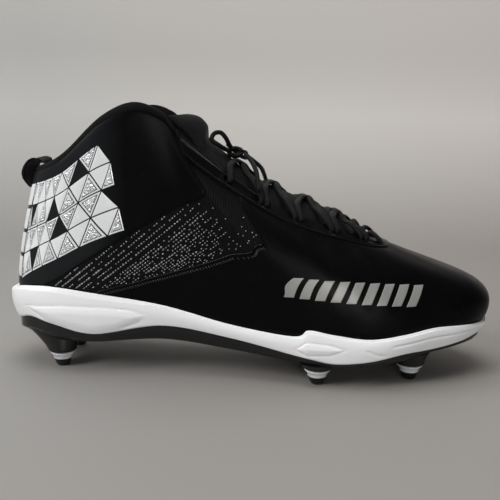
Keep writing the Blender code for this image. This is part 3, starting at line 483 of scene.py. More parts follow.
def filmMaterial(name, colour, roughness, grain, wear, gloss, dust, depth, fade=None, **fixed):
    # smooth coated skin: fine grain, a cloudy gloss and a little dust; fade is start, end and far colour
    material, tree, shader = newMaterial(name, colour, roughness, **fixed)
    place = put(tree, "ShaderNodeTexCoord").outputs["Object"]
    pebbles = useGroup(tree, grainGroup, Vector=place, Scale=grain)
    worn = useGroup(tree, wearGroup, Vector=place, Scale=wear)
    shine = stretch(tree, pebbles["Cloud"], *gloss, 0.3, 0.7)
    base = colour
    if fade:
        x = put(tree, "ShaderNodeSeparateXYZ", {"Vector": place}).outputs["X"]
        base = mixColours(tree, stretch(tree, x, 0, 1, *fade[:2]), colour, fade[2])
    rough = maths(tree, "MULTIPLY_ADD", worn["Dust"], 0.06, shine)
    dusty = mixColours(tree, maths(tree, "MULTIPLY", worn["Dust"], dust), base, (0.30, 0.29, 0.27))
    finishMaterial(tree, shader, dusty, rough, pebbles["Height"], depth)
    return material


def clothMaterial(name, colour, roughness, pitch, slant, wear, depth, **fixed):
    # woven or knitted cloth on surface coordinates, with painted shade in the gaps between its threads, and
    # rubbed pale
    material, tree, shader = newMaterial(name, colour, roughness, **fixed)
    surface = put(tree, "ShaderNodeTexCoord").outputs["UV"]
    place = put(tree, "ShaderNodeTexCoord").outputs["Object"]
    weave = useGroup(tree, weaveGroup, Vector=surface, Pitch=pitch, Slant=slant)
    worn = useGroup(tree, wearGroup, Vector=place, Scale=wear)
    # painted shade: the cloth colour is cut to a third in the low gaps between its threads
    gapShadedWeave = mixColours(tree, weave["Gap"], colour, tuple(part * 0.35 for part in colour))
    light = tuple(min(1.0, part * 2.2) for part in colour)
    rubbed = mixColours(tree, maths(tree, "MULTIPLY", worn["Rub"], 0.4), gapShadedWeave, light)
    rough = maths(tree, "MULTIPLY_ADD", weave["Height"], -0.12, roughness)
    finishMaterial(tree, shader, rubbed, rough, weave["Height"], depth)
    return material


def moulding(name, colour, roughness, wear, grain, dust, scuff, soil, depth, **fixed):
    # moulded rubber or plastic with a faint skin and scuffs
    material, tree, shader = newMaterial(name, colour, roughness, **fixed)
    place = put(tree, "ShaderNodeTexCoord").outputs["Object"]
    worn = useGroup(tree, wearGroup, Vector=place, Scale=wear)
    pebbles = useGroup(tree, grainGroup, Vector=place, Scale=grain)
    soiled = mixColours(tree, maths(tree, "MULTIPLY", worn["Dust"], dust), colour, soil)
    rough = maths(tree, "MULTIPLY_ADD", worn["Rub"], scuff, roughness)
    finishMaterial(tree, shader, soiled, rough, pebbles["Height"], depth)
    return material


filmBlack, clothBlack = (0.0020, 0.0020, 0.0024), (0.0036, 0.0036, 0.0040)
blackFilm = filmMaterial("blackFilm", filmBlack, 0.33, grain=1500.0, wear=220.0,
                         gloss=(0.27, 0.38), dust=0.006,
                         depth=0.00006, specular=0.06, coat=0.005, coatRough=0.28)
stayFilm = filmMaterial("stayFilm", (0.0022, 0.0022, 0.0026), 0.28, grain=1800.0, wear=260.0,
                        gloss=(0.2, 0.32),
                        dust=0.006, depth=0.00005, specular=0.12, coat=0.02, coatRough=0.2)
charcoalFilm = filmMaterial("charcoalFilm", (0.013, 0.0145, 0.0155), 0.32, grain=1500.0, wear=220.0,
                            gloss=(0.27, 0.38), dust=0.006, depth=0.00005, fade=(-0.092, -0.070, filmBlack),
                            specular=0.06, coat=0.01, coatRough=0.25)
silverFoil = filmMaterial("silverFoil", (0.86, 0.885, 0.90), 0.3, grain=900.0, wear=160.0, gloss=(0.24, 0.36),
                          dust=0.04, depth=0.00007, metal=0.22, coat=0.2)
facetFoil = filmMaterial("facetFoil", (0.66, 0.69, 0.71), 0.3, grain=900.0, wear=160.0, gloss=(0.22, 0.34),
                         dust=0.04, depth=0.0009, metal=0.6)
greyPrint = filmMaterial("greyPrint", (0.29, 0.29, 0.275), 0.42, grain=1400.0, wear=200.0, gloss=(0.36, 0.46),
                         dust=0.02, depth=0.00004, metal=0.25)
meshCloth = clothMaterial("meshCloth", (0.0032, 0.0032, 0.0036), 0.62, pitch=0.0011, slant=0.5, wear=90.0,
                          depth=0.00022, specular=0.08, sheen=0.002, coat=0.005, coatRough=0.35)
liningCloth = clothMaterial("liningCloth", (0.0034, 0.0034, 0.0038), 0.85, pitch=0.0013, slant=0.0, wear=80.0,
                            depth=0.0002, specular=0.1, sheen=0.006)
tongueCloth = clothMaterial("tongueCloth", clothBlack, 0.6, pitch=0.0016, slant=0.6, wear=80.0, depth=0.0003,
                            specular=0.09, sheen=0.003, coat=0.005, coatRough=0.3)
sockCloth = clothMaterial("sockCloth", (0.018, 0.018, 0.019), 0.9, pitch=0.0012, slant=0.0, wear=60.0,
                          depth=0.0002, specular=0.2, sheen=0.03)
laceCloth = clothMaterial("laceCloth", clothBlack, 0.5, pitch=0.0009, slant=1.0, wear=120.0, depth=0.0002,
                          specular=0.1, sheen=0.004, coat=0.008, coatRough=0.3)
tabCloth = clothMaterial("tabCloth", clothBlack, 0.6, pitch=0.0014, slant=0.0, wear=90.0, depth=0.0003,
                         specular=0.1, sheen=0.004)
threadBlack = clothMaterial("threadBlack", (0.010, 0.010, 0.011), 0.36, pitch=0.0006, slant=1.0, wear=200.0,
                            depth=0.00008, sheen=0.06)
# painted highlight: the glossy black beads get a light grey base colour standing in for their glints
beadPaintedGlint = moulding("beadPaintedGlint", (0.16, 0.165, 0.17), 0.12, wear=300.0, grain=2500.0, dust=0.0, scuff=0.08,
                     soil=(0.2, 0.2, 0.2), depth=0.00002, coat=0.6, coatRough=0.08)
soleWhite = moulding("soleWhite", (0.80, 0.81, 0.83), 0.36, wear=120.0, grain=1300.0, dust=0.10, scuff=0.12,
                     soil=(0.42, 0.42, 0.42), depth=0.00003, coat=0.12, coatRough=0.2)
plateBlack = moulding("plateBlack", (0.0050, 0.0058, 0.0062), 0.2, wear=150.0, grain=1500.0, dust=0.02,
                      scuff=0.16, soil=(0.22, 0.21, 0.20), depth=0.00003, specular=0.35,
                      coat=0.12, coatRough=0.12)
studPale = moulding("studPale", (0.80, 0.83, 0.86), 0.2, wear=260.0, grain=1500.0, dust=0.12, scuff=0.12,
                    soil=(0.35, 0.34, 0.32), depth=0.00003, coat=0.4, coatRough=0.1, clear=0.25)
print("materials made")


# The camera, settled from the photo: the shoe is seen from its outer side, slightly above.
view = {"aim": (-0.0003, 0.0, 0.0706), "far": 0.398, "high": 0.148, "yaw": -1.0, "roll": 1.2, "lens": 47.16}


def makeCamera():
    aim = Vector(view["aim"])
    yaw = math.radians(view["yaw"])
    away = Vector((math.sin(yaw), math.cos(yaw), 0))
    spot = aim - away * view["far"]
    spot.z = view["high"]
    camera = bpy.data.cameras.new("photoCamera")
    camera.lens = view["lens"]
    camera.sensor_width = 36
    camera.clip_start = 0.01
    holder = bpy.data.objects.new("photoCamera", camera)
    turn = (aim - spot).to_track_quat("-Z", "Y").to_matrix().to_4x4()
    roll = Matrix.Rotation(math.radians(view["roll"]), 4, "Z")
    holder.matrix_world = Matrix.Translation(spot) @ turn @ roll
    bpy.context.scene.collection.objects.link(holder)
    bpy.context.scene.camera = holder


makeCamera()


# Small tools for the pieces
def joinParts(name, parts, material, smooth=True, angle=None):
    # one mesh of many small closed parts, each given as points, faces and surface coordinates
    points, faces, uv, start = [], [], [], 0
    for partPoints, partFaces, partUv in parts:
        points.append(partPoints)
        faces += [tuple(corner + start for corner in face) for face in partFaces]
        uv.append(partUv)
        start += len(partPoints)
    return newMesh(name, np.concatenate(points), faces, material, np.concatenate(uv), smooth, angle)


def smoothRoute(route, per):
    route = np.asarray(route, float)
    full = np.vstack([2 * route[0] - route[1], route, 2 * route[-1] - route[-2]])
    share = np.arange(per)[:, None] / per
    made = []
    for corners in zip(full, full[1:], full[2:], full[3:]):
        made.append(spline(*corners, share))
    return np.vstack([*made, route[-1:]])


def tubePart(route, radius, sides=14, flat=1.0, broad=1.0):
    # a cord along a run of points, with narrower ends; flat under one squeezes it, broad over one widens it
    route = np.asarray(route, float)
    run = np.gradient(route, axis=0)
    run /= np.linalg.norm(run, axis=1, keepdims=True)
    side = np.cross(run[0], (0.0, 0.0, 1.0))
    if np.linalg.norm(side) < 0.1:
        side = np.cross(run[0], (0.0, 1.0, 0.0))
    far = runAlong(route)
    turn = np.linspace(0, 2 * math.pi, sides, endpoint=False)
    rings, uv = [], []
    for spot, point in enumerate(route):
        side = side - run[spot] * np.dot(side, run[spot])
        side /= np.linalg.norm(side)
        up = np.cross(side, run[spot])
        wide = radius * (0.55 if spot in (0, len(route) - 1) else 1.0)
        rings.append(point + wide * (broad * np.cos(turn)[:, None] * side
                                     + flat * np.sin(turn)[:, None] * up))
        uv.append(np.stack([turn * radius, np.full(sides, far[spot])], -1))
    faces = [((ring + 1) * sides + corner, (ring + 1) * sides + (corner + 1) % sides,
              ring * sides + (corner + 1) % sides, ring * sides + corner)
             for ring in range(len(route) - 1) for corner in range(sides)]
    faces += [tuple(range(sides)), tuple(range((len(route) - 1) * sides, len(route) * sides))[::-1]]
    return np.vstack(rings), faces, np.vstack(uv)


def domePart(centre, normal, along, size):
    # a low dome of a few faces: size is its half length, half width and height
    along = along - normal * np.dot(along, normal)
    along /= np.linalg.norm(along)
    across = np.cross(normal, along)
    turn = np.linspace(0, 2 * math.pi, 8, endpoint=False)
    ring = np.cos(turn)[:, None] * along * size[0] + np.sin(turn)[:, None] * across * size[1]
    points = np.vstack([centre + ring - normal * 0.0003, centre + ring * 0.78 + normal * size[2] * 0.62,
                        centre + normal * size[2]])
    faces = [(corner, (corner + 1) % 8, 8 + (corner + 1) % 8, 8 + corner) for corner in range(8)]
    faces += [(8 + corner, 8 + (corner + 1) % 8, 16) for corner in range(8)] + [tuple(range(8))[::-1]]
    return points, faces, np.zeros((17, 2))


def alongSide(line, spacing, medial=False):
    # places and shares at a set spacing along a line drawn on the side, x and z in millimetres
    spots = spotsOnSide(line)
    run = np.concatenate([[0], np.cumsum(np.hypot(*np.diff(np.array(line), axis=0).T))]) / 1000
    far = np.linspace(0, run[-1], max(2, int(round(run[-1] / spacing)) + 1))
    place, share = np.interp(far, run, spots[:, 0]), np.interp(far, run, spots[:, 1])
    return (loopRows - place if medial else place), share


def lineGap(x, z, line):
    # how far points in side view lie from a drawn line, in metres
    best = np.full(np.shape(x), 1.0)
    for (ax, az), (bx, bz) in zip(line, line[1:]):
        dx, dz = (bx - ax) / 1000, (bz - az) / 1000
        share = np.clip(((x - ax / 1000) * dx + (z - az / 1000) * dz) / (dx * dx + dz * dz), 0, 1)
        best = np.minimum(best, np.hypot(x - ax / 1000 - share * dx, z - az / 1000 - share * dz))
    return best


def shellOf(name, places, share, height, material):
    # a thin closed skin over the upper, its outer face at a height over the clearance
    outer, _ = onUpper(places[:, None], share, shoe["clearance"] + height)
    inner, _ = onUpper(places[:, None], share, shoe["clearance"] * 0.5)
    run = runAlong(outer[:, outer.shape[1] // 2])
    rise = np.linalg.norm(outer[:, -1] - outer[:, 0], axis=-1)
    part = (share - share[:, :1]) / np.maximum(share[:, -1:] - share[:, :1], 1e-9)
    uv = np.stack([np.broadcast_to(run[:, None], share.shape), part * rise[:, None]], -1)
    points = np.concatenate([outer.reshape(-1, 3), inner.reshape(-1, 3)])
    return newMesh(name, points, shellFaces(*share.shape), material, np.concatenate([uv.reshape(-1, 2)] * 2),
                   angle=50)


def settle(piece, slot, *nodes):
    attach(piece, "root")
    if nodes:
        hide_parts(*nodes)
    return piece


# Lines read off the shoe's side, x from the heel and z from the floor in millimetres
seamLine = ((57, 48.0), (70, 52.0), (82.4, 55.3), (101.7, 61.2), (121, 67.3), (139.9, 74.8), (157.9, 81.3))
heelEdge = ((13.5, 50.6), (26.5, 50.6), (40.5, 58.1), (58.5, 70.6), (78.8, 83.2), (93.1, 91.6), (108, 100.5),
            (124, 108.5), (132, 114))
creases = (((186, 84), (197, 66), (203, 50)), ((204, 82), (213, 66), (219, 48)),
           ((222, 78), (229, 62), (235, 46)))
randLine = ((125.4, 36.4), (150.9, 38.6), (183.1, 43.4))
toeLines = (((274.7, 45.8), (276.9, 51.6), (277.7, 58.7)), ((277.2, 45.3), (279.4, 51.0), (280.2, 58.0)))


def lineTable(line):
    spots = spotsOnSide(line)
    return spots[np.argsort(spots[:, 0])]


def vampRelief(points):
    # soft creases behind the toe, a faint edge above the sole and two rows across the toe
    x, z = points[..., 0], points[..., 2]
    height = np.zeros(x.shape)
    for line in creases:
        gap = lineGap(x, z, line)
        height += 0.00007 * ridge(gap - 0.0060, 0.0045) - 0.00013 * ridge(gap, 0.0042)
    height += 0.00022 * smoothStep(0.0004, -0.0004, lineGap(x, z, randLine) - 0.0006)
    for line in toeLines:
        height -= 0.00030 * ridge(lineGap(x, z, line), 0.0005)
    return height


# The upper's body: mesh cloth outside, lining inside, a rounded lip at the edge
body = {"columns": 576, "foot": 5, "side": 16, "mesh": 30, "band": 16, "inner": 24, "swell": 0.0007}


def makeBody():
    places = np.linspace(0, loopRows, body["columns"], endpoint=False)
    rows = np.concatenate([np.linspace(0, 1, body["foot"]), np.linspace(1, 4, body["side"])[1:],
                           np.linspace(4, 7, body["mesh"])[1:], np.linspace(7, 9, body["band"])[1:]])
    share, length = gridShare(places, rows[None])
    far = fromHeel(places)[:, None]
    relief = body["swell"] * ridge(rows[None] - 8.4, 0.55) * smoothStep(8.5, 6.5, far)
    relief = relief * smoothStep(9.0, 8.85, rows[None])
    outer, _ = onUpper(places[:, None], share, relief)
    middle, normal = onUpper(places, np.ones(len(places)), -shoe["wall"] / 2)
    rising = slope(handles(places), np.full(len(places), 0.999))
    rising /= np.linalg.norm(rising, axis=-1, keepdims=True)
    lip = [middle + shoe["wall"] / 2 * (math.cos(turn) * normal + 0.7 * math.sin(turn) * rising)
           for turn in np.radians((36, 72, 108, 144))]
    innerRows = np.linspace(9, 0, body["inner"])
    innerShare, _ = gridShare(places, innerRows[None])
    inner, _ = onUpper(places[:, None], innerShare, -shoe["wall"])
    inner[:, -1, 2] = outer[:, 0, 2]
    rings = np.concatenate([outer, np.stack(lip, 1), inner], axis=1)
    count = rings.shape[1]
    run = runAlong(outer[:, 20])
    up = np.concatenate([share, np.ones((len(places), 4)), 1 + (1 - innerShare)], axis=1) * length[:, None]
    uv = np.stack([np.broadcast_to(run[:, None], up.shape), up], -1)
    faces = gridFaces(len(places), count, True)
    for column in range(len(places)):
        beside = (column + 1) % len(places)
        faces.append((column * count + count - 1, beside * count + count - 1, beside * count, column * count))
    made = newMesh("upperBody", rings, faces, meshCloth, uv)
    made.data.materials.append(liningCloth)
    inside = len(rows) + 1
    per = count - 1
    slots = np.zeros(len(faces), np.int32)
    for column in range(len(places)):
        slots[column * per + inside:(column + 1) * per] = 1
    slots[len(places) * per:] = 1
    made.data.polygons.foreach_set("material_index", slots)
    return settle(made, "upper mesh", "upper")


makeBody()
print("upper body made")


# Smooth skins: the heel's, with its slanted lower edge, and the vamp's below the seam
heelSkin = {"end": 8.3, "columns": 300, "rows": 44, "thick": 0.0007}
vampSkin = {"start": 4.9, "step": 9.4, "full": 10.2, "columns": 460, "rows": 44, "thick": 0.0007}


def makeHeelSkin():
    end = heelSkin["end"]
    places = np.linspace(-end, end, heelSkin["columns"])
    edge = lineTable(heelEdge)
    far = np.abs(places)
    knots, _ = gridKnots(places)
    low = np.maximum(knots[:, 1], np.interp(far, edge[:, 0], edge[:, 1]))
    low = np.where(far < edge[1, 0], knots[:, 1], low)
    top = knots[:, 4] - (knots[:, 4] - knots[:, 3]) * 0.30
    share = low[:, None] + (top - low)[:, None] * np.linspace(0, 1, heelSkin["rows"])[None]
    points, _ = onUpper(places[:, None], share)
    part = np.linspace(0, 1, heelSkin["rows"])[None]
    rim = np.minimum(smoothStep(0, 0.03, part), smoothStep(1, 0.97, part))
    x = points[..., 0]
    run = x * 0.8 + points[..., 2] * 0.6
    ribs = 0.5 + 0.5 * np.sin(run * 2 * math.pi / 0.0024)
    where = smoothStep(0.80, 0.84, part) * smoothStep(0.97, 0.93, part) * smoothStep(0.052, 0.060, x)
    where = where * smoothStep(0.088, 0.080, x)
    height = heelSkin["thick"] * (0.35 + 0.65 * rim) + 0.00035 * ribs * where
    made = shellOf("heelSkin", places, share, height, charcoalFilm)
    return settle(made, "charcoal film", "heel_counter")


def makeVampSkin():
    start = vampSkin["start"]
    places = np.linspace(start, loopRows - start, vampSkin["columns"])
    far = fromHeel(places)
    knots, _ = gridKnots(places)
    seam = lineTable(seamLine)
    low = knots[:, 1]
    top = np.interp(far, seam[:, 0], seam[:, 1])
    climb = smoothStep(vampSkin["step"], vampSkin["full"], far)
    top = top + (knots[:, 3] + 0.01 - top) * climb
    part = np.linspace(0, 1, vampSkin["rows"])[None]
    share = low[:, None] + np.maximum(top - low, 0.004)[:, None] * part
    points, _ = onUpper(places[:, None], share)
    edge = smoothStep(1, 0.97, part) * smoothStep(0, 0.02, part)
    height = vampSkin["thick"] * (0.3 + 0.7 * edge) + vampRelief(points) * smoothStep(1, 0.9, part)
    made = shellOf("vampSkin", places, share, height, blackFilm)
    return settle(made, "black film", "vamp_film")


makeHeelSkin()
makeVampSkin()
print("skins made")


# The raised stay round the throat, with a rolled edge and punched holes
eyeletPlaces = (15.1, 13.9, 12.8, 11.8, 10.9, 10.0)


def shareBelowEdge(places, distance):
    # the share of the section at a distance under its top, measured along it
    places = np.atleast_1d(np.asarray(places, float))
    shares, section = sections(places, 161)
    distance = np.broadcast_to(distance, places.shape)
    return np.array([np.interp(line[-1] - gap, line, shares)
                     for line, gap in zip(lengthsUp(section), distance)])


def makeStay():
    start = stay["start"]
    places = np.linspace(start, loopRows - start, stay["columns"])
    rows = np.linspace(7, 9, stay["rows"])
    share, length = gridShare(places, rows[None])
    below = (1 - share) * length[:, None]
    points, _ = onUpper(places[:, None], share)
    ends = smoothStep(start, start + 0.25, fromHeel(places))[:, None]
    edge = smoothStep(7, 7.12, rows)[None] * smoothStep(9, 8.94, rows)[None] * ends
    height = stay["thick"] * (0.15 + 0.85 * edge)
    fade = smoothStep(11.5, 10.5, fromHeel(places))[:, None]
    height = height + stay["rolled"] * ridge(below - 0.0024, 0.0017) * fade
    height = height - 0.00025 * ridge(rows - 7.35, 0.035)[None] * ends
    for row in eyeletPlaces:
        for place in (row, loopRows - row):
            centre, _ = onUpper(np.array([place]), shareBelowEdge(place, stay["inset"]))
            gap = np.linalg.norm(points - centre[0], axis=-1)
            height = height - 0.0011 * smoothStep(stay["hole"], stay["hole"] * 0.7, gap)
            height = height + 0.0003 * ridge(gap - stay["hole"] * 1.25, 0.0005)
    made = shellOf("eyestay", places, share, height, stayFilm)
    return settle(made, "black film", "eyestay")


makeStay()
print("eyestay made")


# Padded pieces: blown up a little by cloth simulation, each point held near its start
def puff(piece, pressure, reach, frames=14):
    before = np.array([vertex.co for vertex in piece.data.vertices])
    cloth = piece.modifiers.new("puff", "CLOTH")
    cloth.settings.quality = 4
    cloth.settings.use_pressure = True
    cloth.settings.uniform_pressure_force = pressure
    cloth.settings.effector_weights.gravity = 0
    cloth.settings.tension_stiffness = cloth.settings.compression_stiffness = 12
    cloth.collision_settings.use_collision = False
    cloth.point_cache.frame_end = frames
    scene = bpy.context.scene
    for number in range(1, frames + 1):
        scene.frame_set(number)
    shaped = piece.evaluated_get(bpy.context.evaluated_depsgraph_get())
    after = np.array([vertex.co for vertex in shaped.data.vertices])
    move = after - before
    size = np.linalg.norm(move, axis=1, keepdims=True)
    move *= np.minimum(1, reach / np.maximum(size, 1e-9))
    piece.modifiers.remove(cloth)
    piece.data.vertices.foreach_set("co", (before + move).ravel())
    piece.data.update()
    scene.frame_set(1)
    finish = piece.modifiers.new("smooth", "SUBSURF")
    finish.levels = finish.render_levels = 1
    bpy.context.view_layer.objects.active = piece
    piece.select_set(True)
    bpy.ops.object.modifier_apply(modifier="smooth")
    piece.select_set(False)
    piece.data.shade_smooth()
    return piece


def smoothGrid(grid, columns, rows):
    # a finer grid of points through a coarse one, smooth both ways
    def finer(values, count):
        spots = np.linspace(0, len(values) - 1, count)
        full = np.concatenate([2 * values[:1] - values[1:2], values, 2 * values[-1:] - values[-2:-1]])
        row = np.minimum(spots.astype(int), len(values) - 2)
        share = (spots - row).reshape(-1, *[1] * (values.ndim - 1))
        return spline(full[row], full[row + 1], full[row + 2], full[row + 3], share)

    made = finer(grid, columns)
    return np.swapaxes(finer(np.swapaxes(made, 0, 1), rows), 0, 1)


def padFrom(name, material, over, under):
    # a closed pad between two grids of points
    columns, rows = over.shape[:2]
    u, v = runAlong(over[columns // 2]), runAlong(over[:, rows // 2])
    uv = np.stack(np.broadcast_arrays(u[None], v[:, None]), -1).reshape(-1, 2)
    points = np.concatenate([over.reshape(-1, 3), under.reshape(-1, 3)])
    made = newMesh(name, points, shellFaces(columns, rows), material, np.concatenate([uv, uv]))
    work = bmesh.new()
    work.from_mesh(made.data)
    bmesh.ops.recalc_face_normals(work, faces=work.faces)
    work.to_mesh(made.data)
    work.free()
    return made


# The tongue: under the throat it follows an arch, and its top is a thick pad
tongue = {"crown": 0.0105, "thick": 0.0028, "pad": 0.0085, "tuck": 0.0085, "gap": 0.0008, "columns": 64,
          "rows": 34, "side": 1.25, "thinning": 0.65, "under": (-0.35, 0, -0.93), "back": (-0.86, 0, -0.5)}
tongueRows = ((14.8, 0.12), (14.0, 0.64), (13.0, 1.08), (12.0, 1.18), (11.5, 1.20), (11.0, 1.18),
              (10.5, 1.10),
              (10.0, 1.06), (9.5, 1.08))
tongueFront = (((15.3, 1.15), (15.8, 1.10), (16.2, 1.05), (16.6, 1.0), (17.0, 1.0)),
               ((14.9, 1.00), (15.4, 0.35), (16.0, 0.16), (16.5, 0.12), (17.0, 0.12)))
tongueTop = ((0.410, 0.927, 0.393, 0.200, 0.872, 0.55), (0.392, 0.963, 0.368, 0.200, 0.925, 1.0),
             (0.368, 0.972, 0.342, 0.195, 0.965, 0.75))
tongueAcross = np.array((-1.0, -0.72, -0.42, 0.0, 0.42, 0.72, 1.0))


def upperSpot(place, share, offset=0.0):
    return onUpper(np.array([float(place)]), np.array([float(share)]), offset)[0][0]


def throatPoint(row, across, depth, crown):
    lateral, medial = upperSpot(row, 1.0, -depth), upperSpot(loopRows - row, 1.0, -depth)
    point = lateral + (medial - lateral) * (across + 1) / 2
    return point + np.array((0, 0, crown * (1 - abs(across) ** 2.2)))


def crownAt(row):
    table = np.array(sorted(tongueRows))
    return tongue["crown"] * float(np.interp(row, table[:, 0], table[:, 1]))


def makeTongue():
    depth = shoe["wall"] + tongue["gap"]
    tops, unders = [], []
    for section in tongueFront:
        spots = [*section, *((loopRows - place, far) for place, far in section[-2::-1])]
        spots = [(place, shareBelowEdge(place, far * tongue["tuck"])[0]) for place, far in spots]
        tops.append([upperSpot(place, share, -depth) for place, share in spots])
        unders.append([upperSpot(place, share, -depth - tongue["thick"]) for place, share in spots])
    for row, crown in tongueRows:
        sides = []
        for place in (row, loopRows - row):
            share = shareBelowEdge(place, tongue["tuck"])[0]
            sides.append((upperSpot(place, share, -depth), upperSpot(place, share, -depth - tongue["thick"])))
        drop = np.array(tongue["under"]) * tongue["thick"]
        over, below = [sides[0][0]], [sides[0][1]]
        for across in tongueAcross:
            point = throatPoint(row, across, depth, crown * tongue["crown"])
            over.append(point)
            edge = abs(across) == 1
            below.append(throatPoint(row, across, depth + tongue["thick"], 0) if edge else point + drop)
        tops.append([*over, sides[1][0]])
        unders.append([*below, sides[1][1]])
    reach = (-tongue["side"], *tongueAcross, tongue["side"])
    for x, z, sideX, sideY, sideZ, pad in tongueTop:
        middle = np.array((x * shoe["length"], 0, shoe["studLength"] + z * shoe["collarRise"]))
        line = []
        for across in reach:
            turn = across / tongue["side"]
            bend = turn ** 2
            line.append(np.array((middle[0] + (sideX * shoe["length"] - middle[0]) * bend,
                                  turn * sideY * shoe["ballWidth"],
                                  middle[2] + (shoe["studLength"] + sideZ * shoe["collarRise"]
                                  - middle[2]) * bend)))
        tops.append(line)
        back = np.array(tongue["back"]) * tongue["pad"] * pad
        unders.append([point + back * (1 - tongue["thinning"] * (abs(across) / tongue["side"]) ** 2)
                       for point, across in zip(line, reach)])
    over = smoothGrid(np.array(tops), tongue["columns"], tongue["rows"])
    under = smoothGrid(np.array(unders), tongue["columns"], tongue["rows"])
    made = padFrom("tonguePad", tongueCloth, over, under)
    puff(made, 2.2, 0.0006)
    return settle(made, "tongue fabric", "tongue")


makeTongue()
print("tongue made")


# The padded lining inside the collar
lining = {"end": 7, "columns": 84, "rows": 18, "thick": 0.0036, "rise": 0.0012}


def makeLining():
    end = lining["end"]
    places = np.linspace(-end, end, lining["columns"])
    rows = np.linspace(5, 9, lining["rows"])
    share, _ = gridShare(places, rows[None])
    gap = shoe["wall"] + shoe["clearance"]
    fade = np.minimum(1.0, 0.35 + (end - np.abs(places)) / 4)[:, None]
    pad = lining["thick"] * fade * np.interp(rows, (5, 6, 7, 8, 9), (0.35, 0.8, 1.0, 0.9, 0.45))[None]
    lift = np.zeros((len(places), len(rows), 3))
    lift[..., 2] = lining["rise"] * smoothStep(8, 9, rows)[None]
    under, _ = onUpper(places[:, None], share, -gap)
    over, _ = onUpper(places[:, None], share, -gap - pad)
    made = padFrom("collarPad", liningCloth, over + lift, under + lift)
    puff(made, 1.5, 0.0005)
    return settle(made, "lining fabric", "collar_lining")


makeLining()
print("lining made")


# The tab of folded webbing at the back
tab = {"half": 0.0105, "thick": 0.0018, "lift": 0.0009,
       "fold": ((0.0125, 0.0008), (0.0110, 0.0030), (0.0085, 0.0060), (0.0050, 0.0074), (0.0010, 0.0070),
                (-0.0028, 0.0052), (-0.0050, 0.0022), (-0.0050, -0.0008), (-0.0032, -0.0024))}


def makeTab():
    # the webbing's run from its lower end, out and over the collar's edge: drop below it, distance out
    fold = smoothRoute(np.array([(drop, out, 0) for drop, out in tab["fold"]]), 4)[:, :2]
    sides = np.linspace(-1, 1, 15)
    over, under = [], []
    for side in sides:
        place = -side * tab["half"] / (0.12 * shoe["ballWidth"])
        edge, normal = onUpper(np.array([place]), np.array([1.0]))
        rising = slope(handles(np.array([place])), np.array([0.999]))[0]
        rising /= np.linalg.norm(rising)
        for drop, out in fold:
            if drop > 0:
                share = shareBelowEdge(place, drop)[0]
                point, away = onUpper(np.array([place]), np.array([share]))
                here, away = point[0], away[0]
            else:
                here, away = edge[0] - rising * drop, normal[0]
            reach = out * (1 - 0.12 * side ** 4)
            over.append(here + away * (reach + tab["thick"] * 0.5 + tab["lift"]))
            under.append(here + away * (reach - tab["thick"] * 0.5 + tab["lift"]))
    shape = (len(sides), len(fold), 3)
    made = padFrom("pullTab", tabCloth, np.array(over).reshape(shape), np.array(under).reshape(shape))
    return settle(made, "webbing", "pull_tab")


makeTab()


# The sole: cup, plate and studs
cup = {"columns": 640, "rows": 26, "step": 0.0009, "ledge": 0.0012}
cupLens = ((18.6, 39.3), (40.9, 41.1), (64.4, 40.9), (81.1, 39.8), (88, 37.0), (86.3, 33.0), (73.4, 27.9),
           (58.8, 25.7), (34.6, 30.6), (18.6, 39.3))
cupDiamond = ((177.4, 22), (183.4, 26.7), (196.1, 26), (204.5, 23.6), (196.4, 20.1), (183.7, 19), (177.4, 22))
cupLines = (((233.1, 26), (254, 29.1), (286.1, 30.7)), ((217.8, 23.5), (222, 21.6), (226.8, 20.5)))


def insideLine(x, z, line):
    inside = np.zeros(np.shape(x), bool)
    for (ax, az), (bx, bz) in zip(line, line[1:]):
        ax, az, bx, bz = (value / 1000 for value in (ax, az, bx, bz))
        cross = (az > z) != (bz > z)
        where = (bx - ax) * (z - az) / (bz - az if bz != az else 1e-9) + ax
        inside ^= cross & (x < where)
    return inside


def cupRelief(x, z):
    # raised lens and diamond with a crisp edge, and moulded lines
    height = np.zeros(x.shape)
    for line, rise in ((cupLens, 0.0010), (cupDiamond, 0.0009)):
        inside = insideLine(x, z, line)
        gap = lineGap(x, z, line)
        height += np.where(inside, rise * (0.35 + 0.65 * smoothStep(0, 0.0045, gap)), 0)
        height -= 0.00035 * ridge(gap, 0.0006)
    for line in cupLines:
        height -= 0.0005 * ridge(lineGap(x, z, line), 0.0006)
    return height


def pairCap(first, columns, flip):
    # quads from side to side across a ring of points
    faces = []
    half = columns // 2
    for spot in range(half):
        a, b = first + spot, first + spot + 1
        c, d = first + (columns - spot - 1) % columns, first + (columns - spot) % columns
        face = tuple(dict.fromkeys((a, b, c, d)))
        if len(face) > 2:
            faces.append(face[::-1] if flip else face)
    return faces


def ringStack(rings):
    # a closed body of stacked rings, capped at both ends
    rings = np.array(rings)
    count = rings.shape[1]
    faces = []
    for ring in range(len(rings) - 1):
        for spot in range(count):
            beside = (spot + 1) % count
            faces.append((ring * count + spot, ring * count + beside, (ring + 1) * count + beside,
                          (ring + 1) * count + spot))
    return rings, faces + pairCap(0, count, True) + pairCap((len(rings) - 1) * count, count, False)


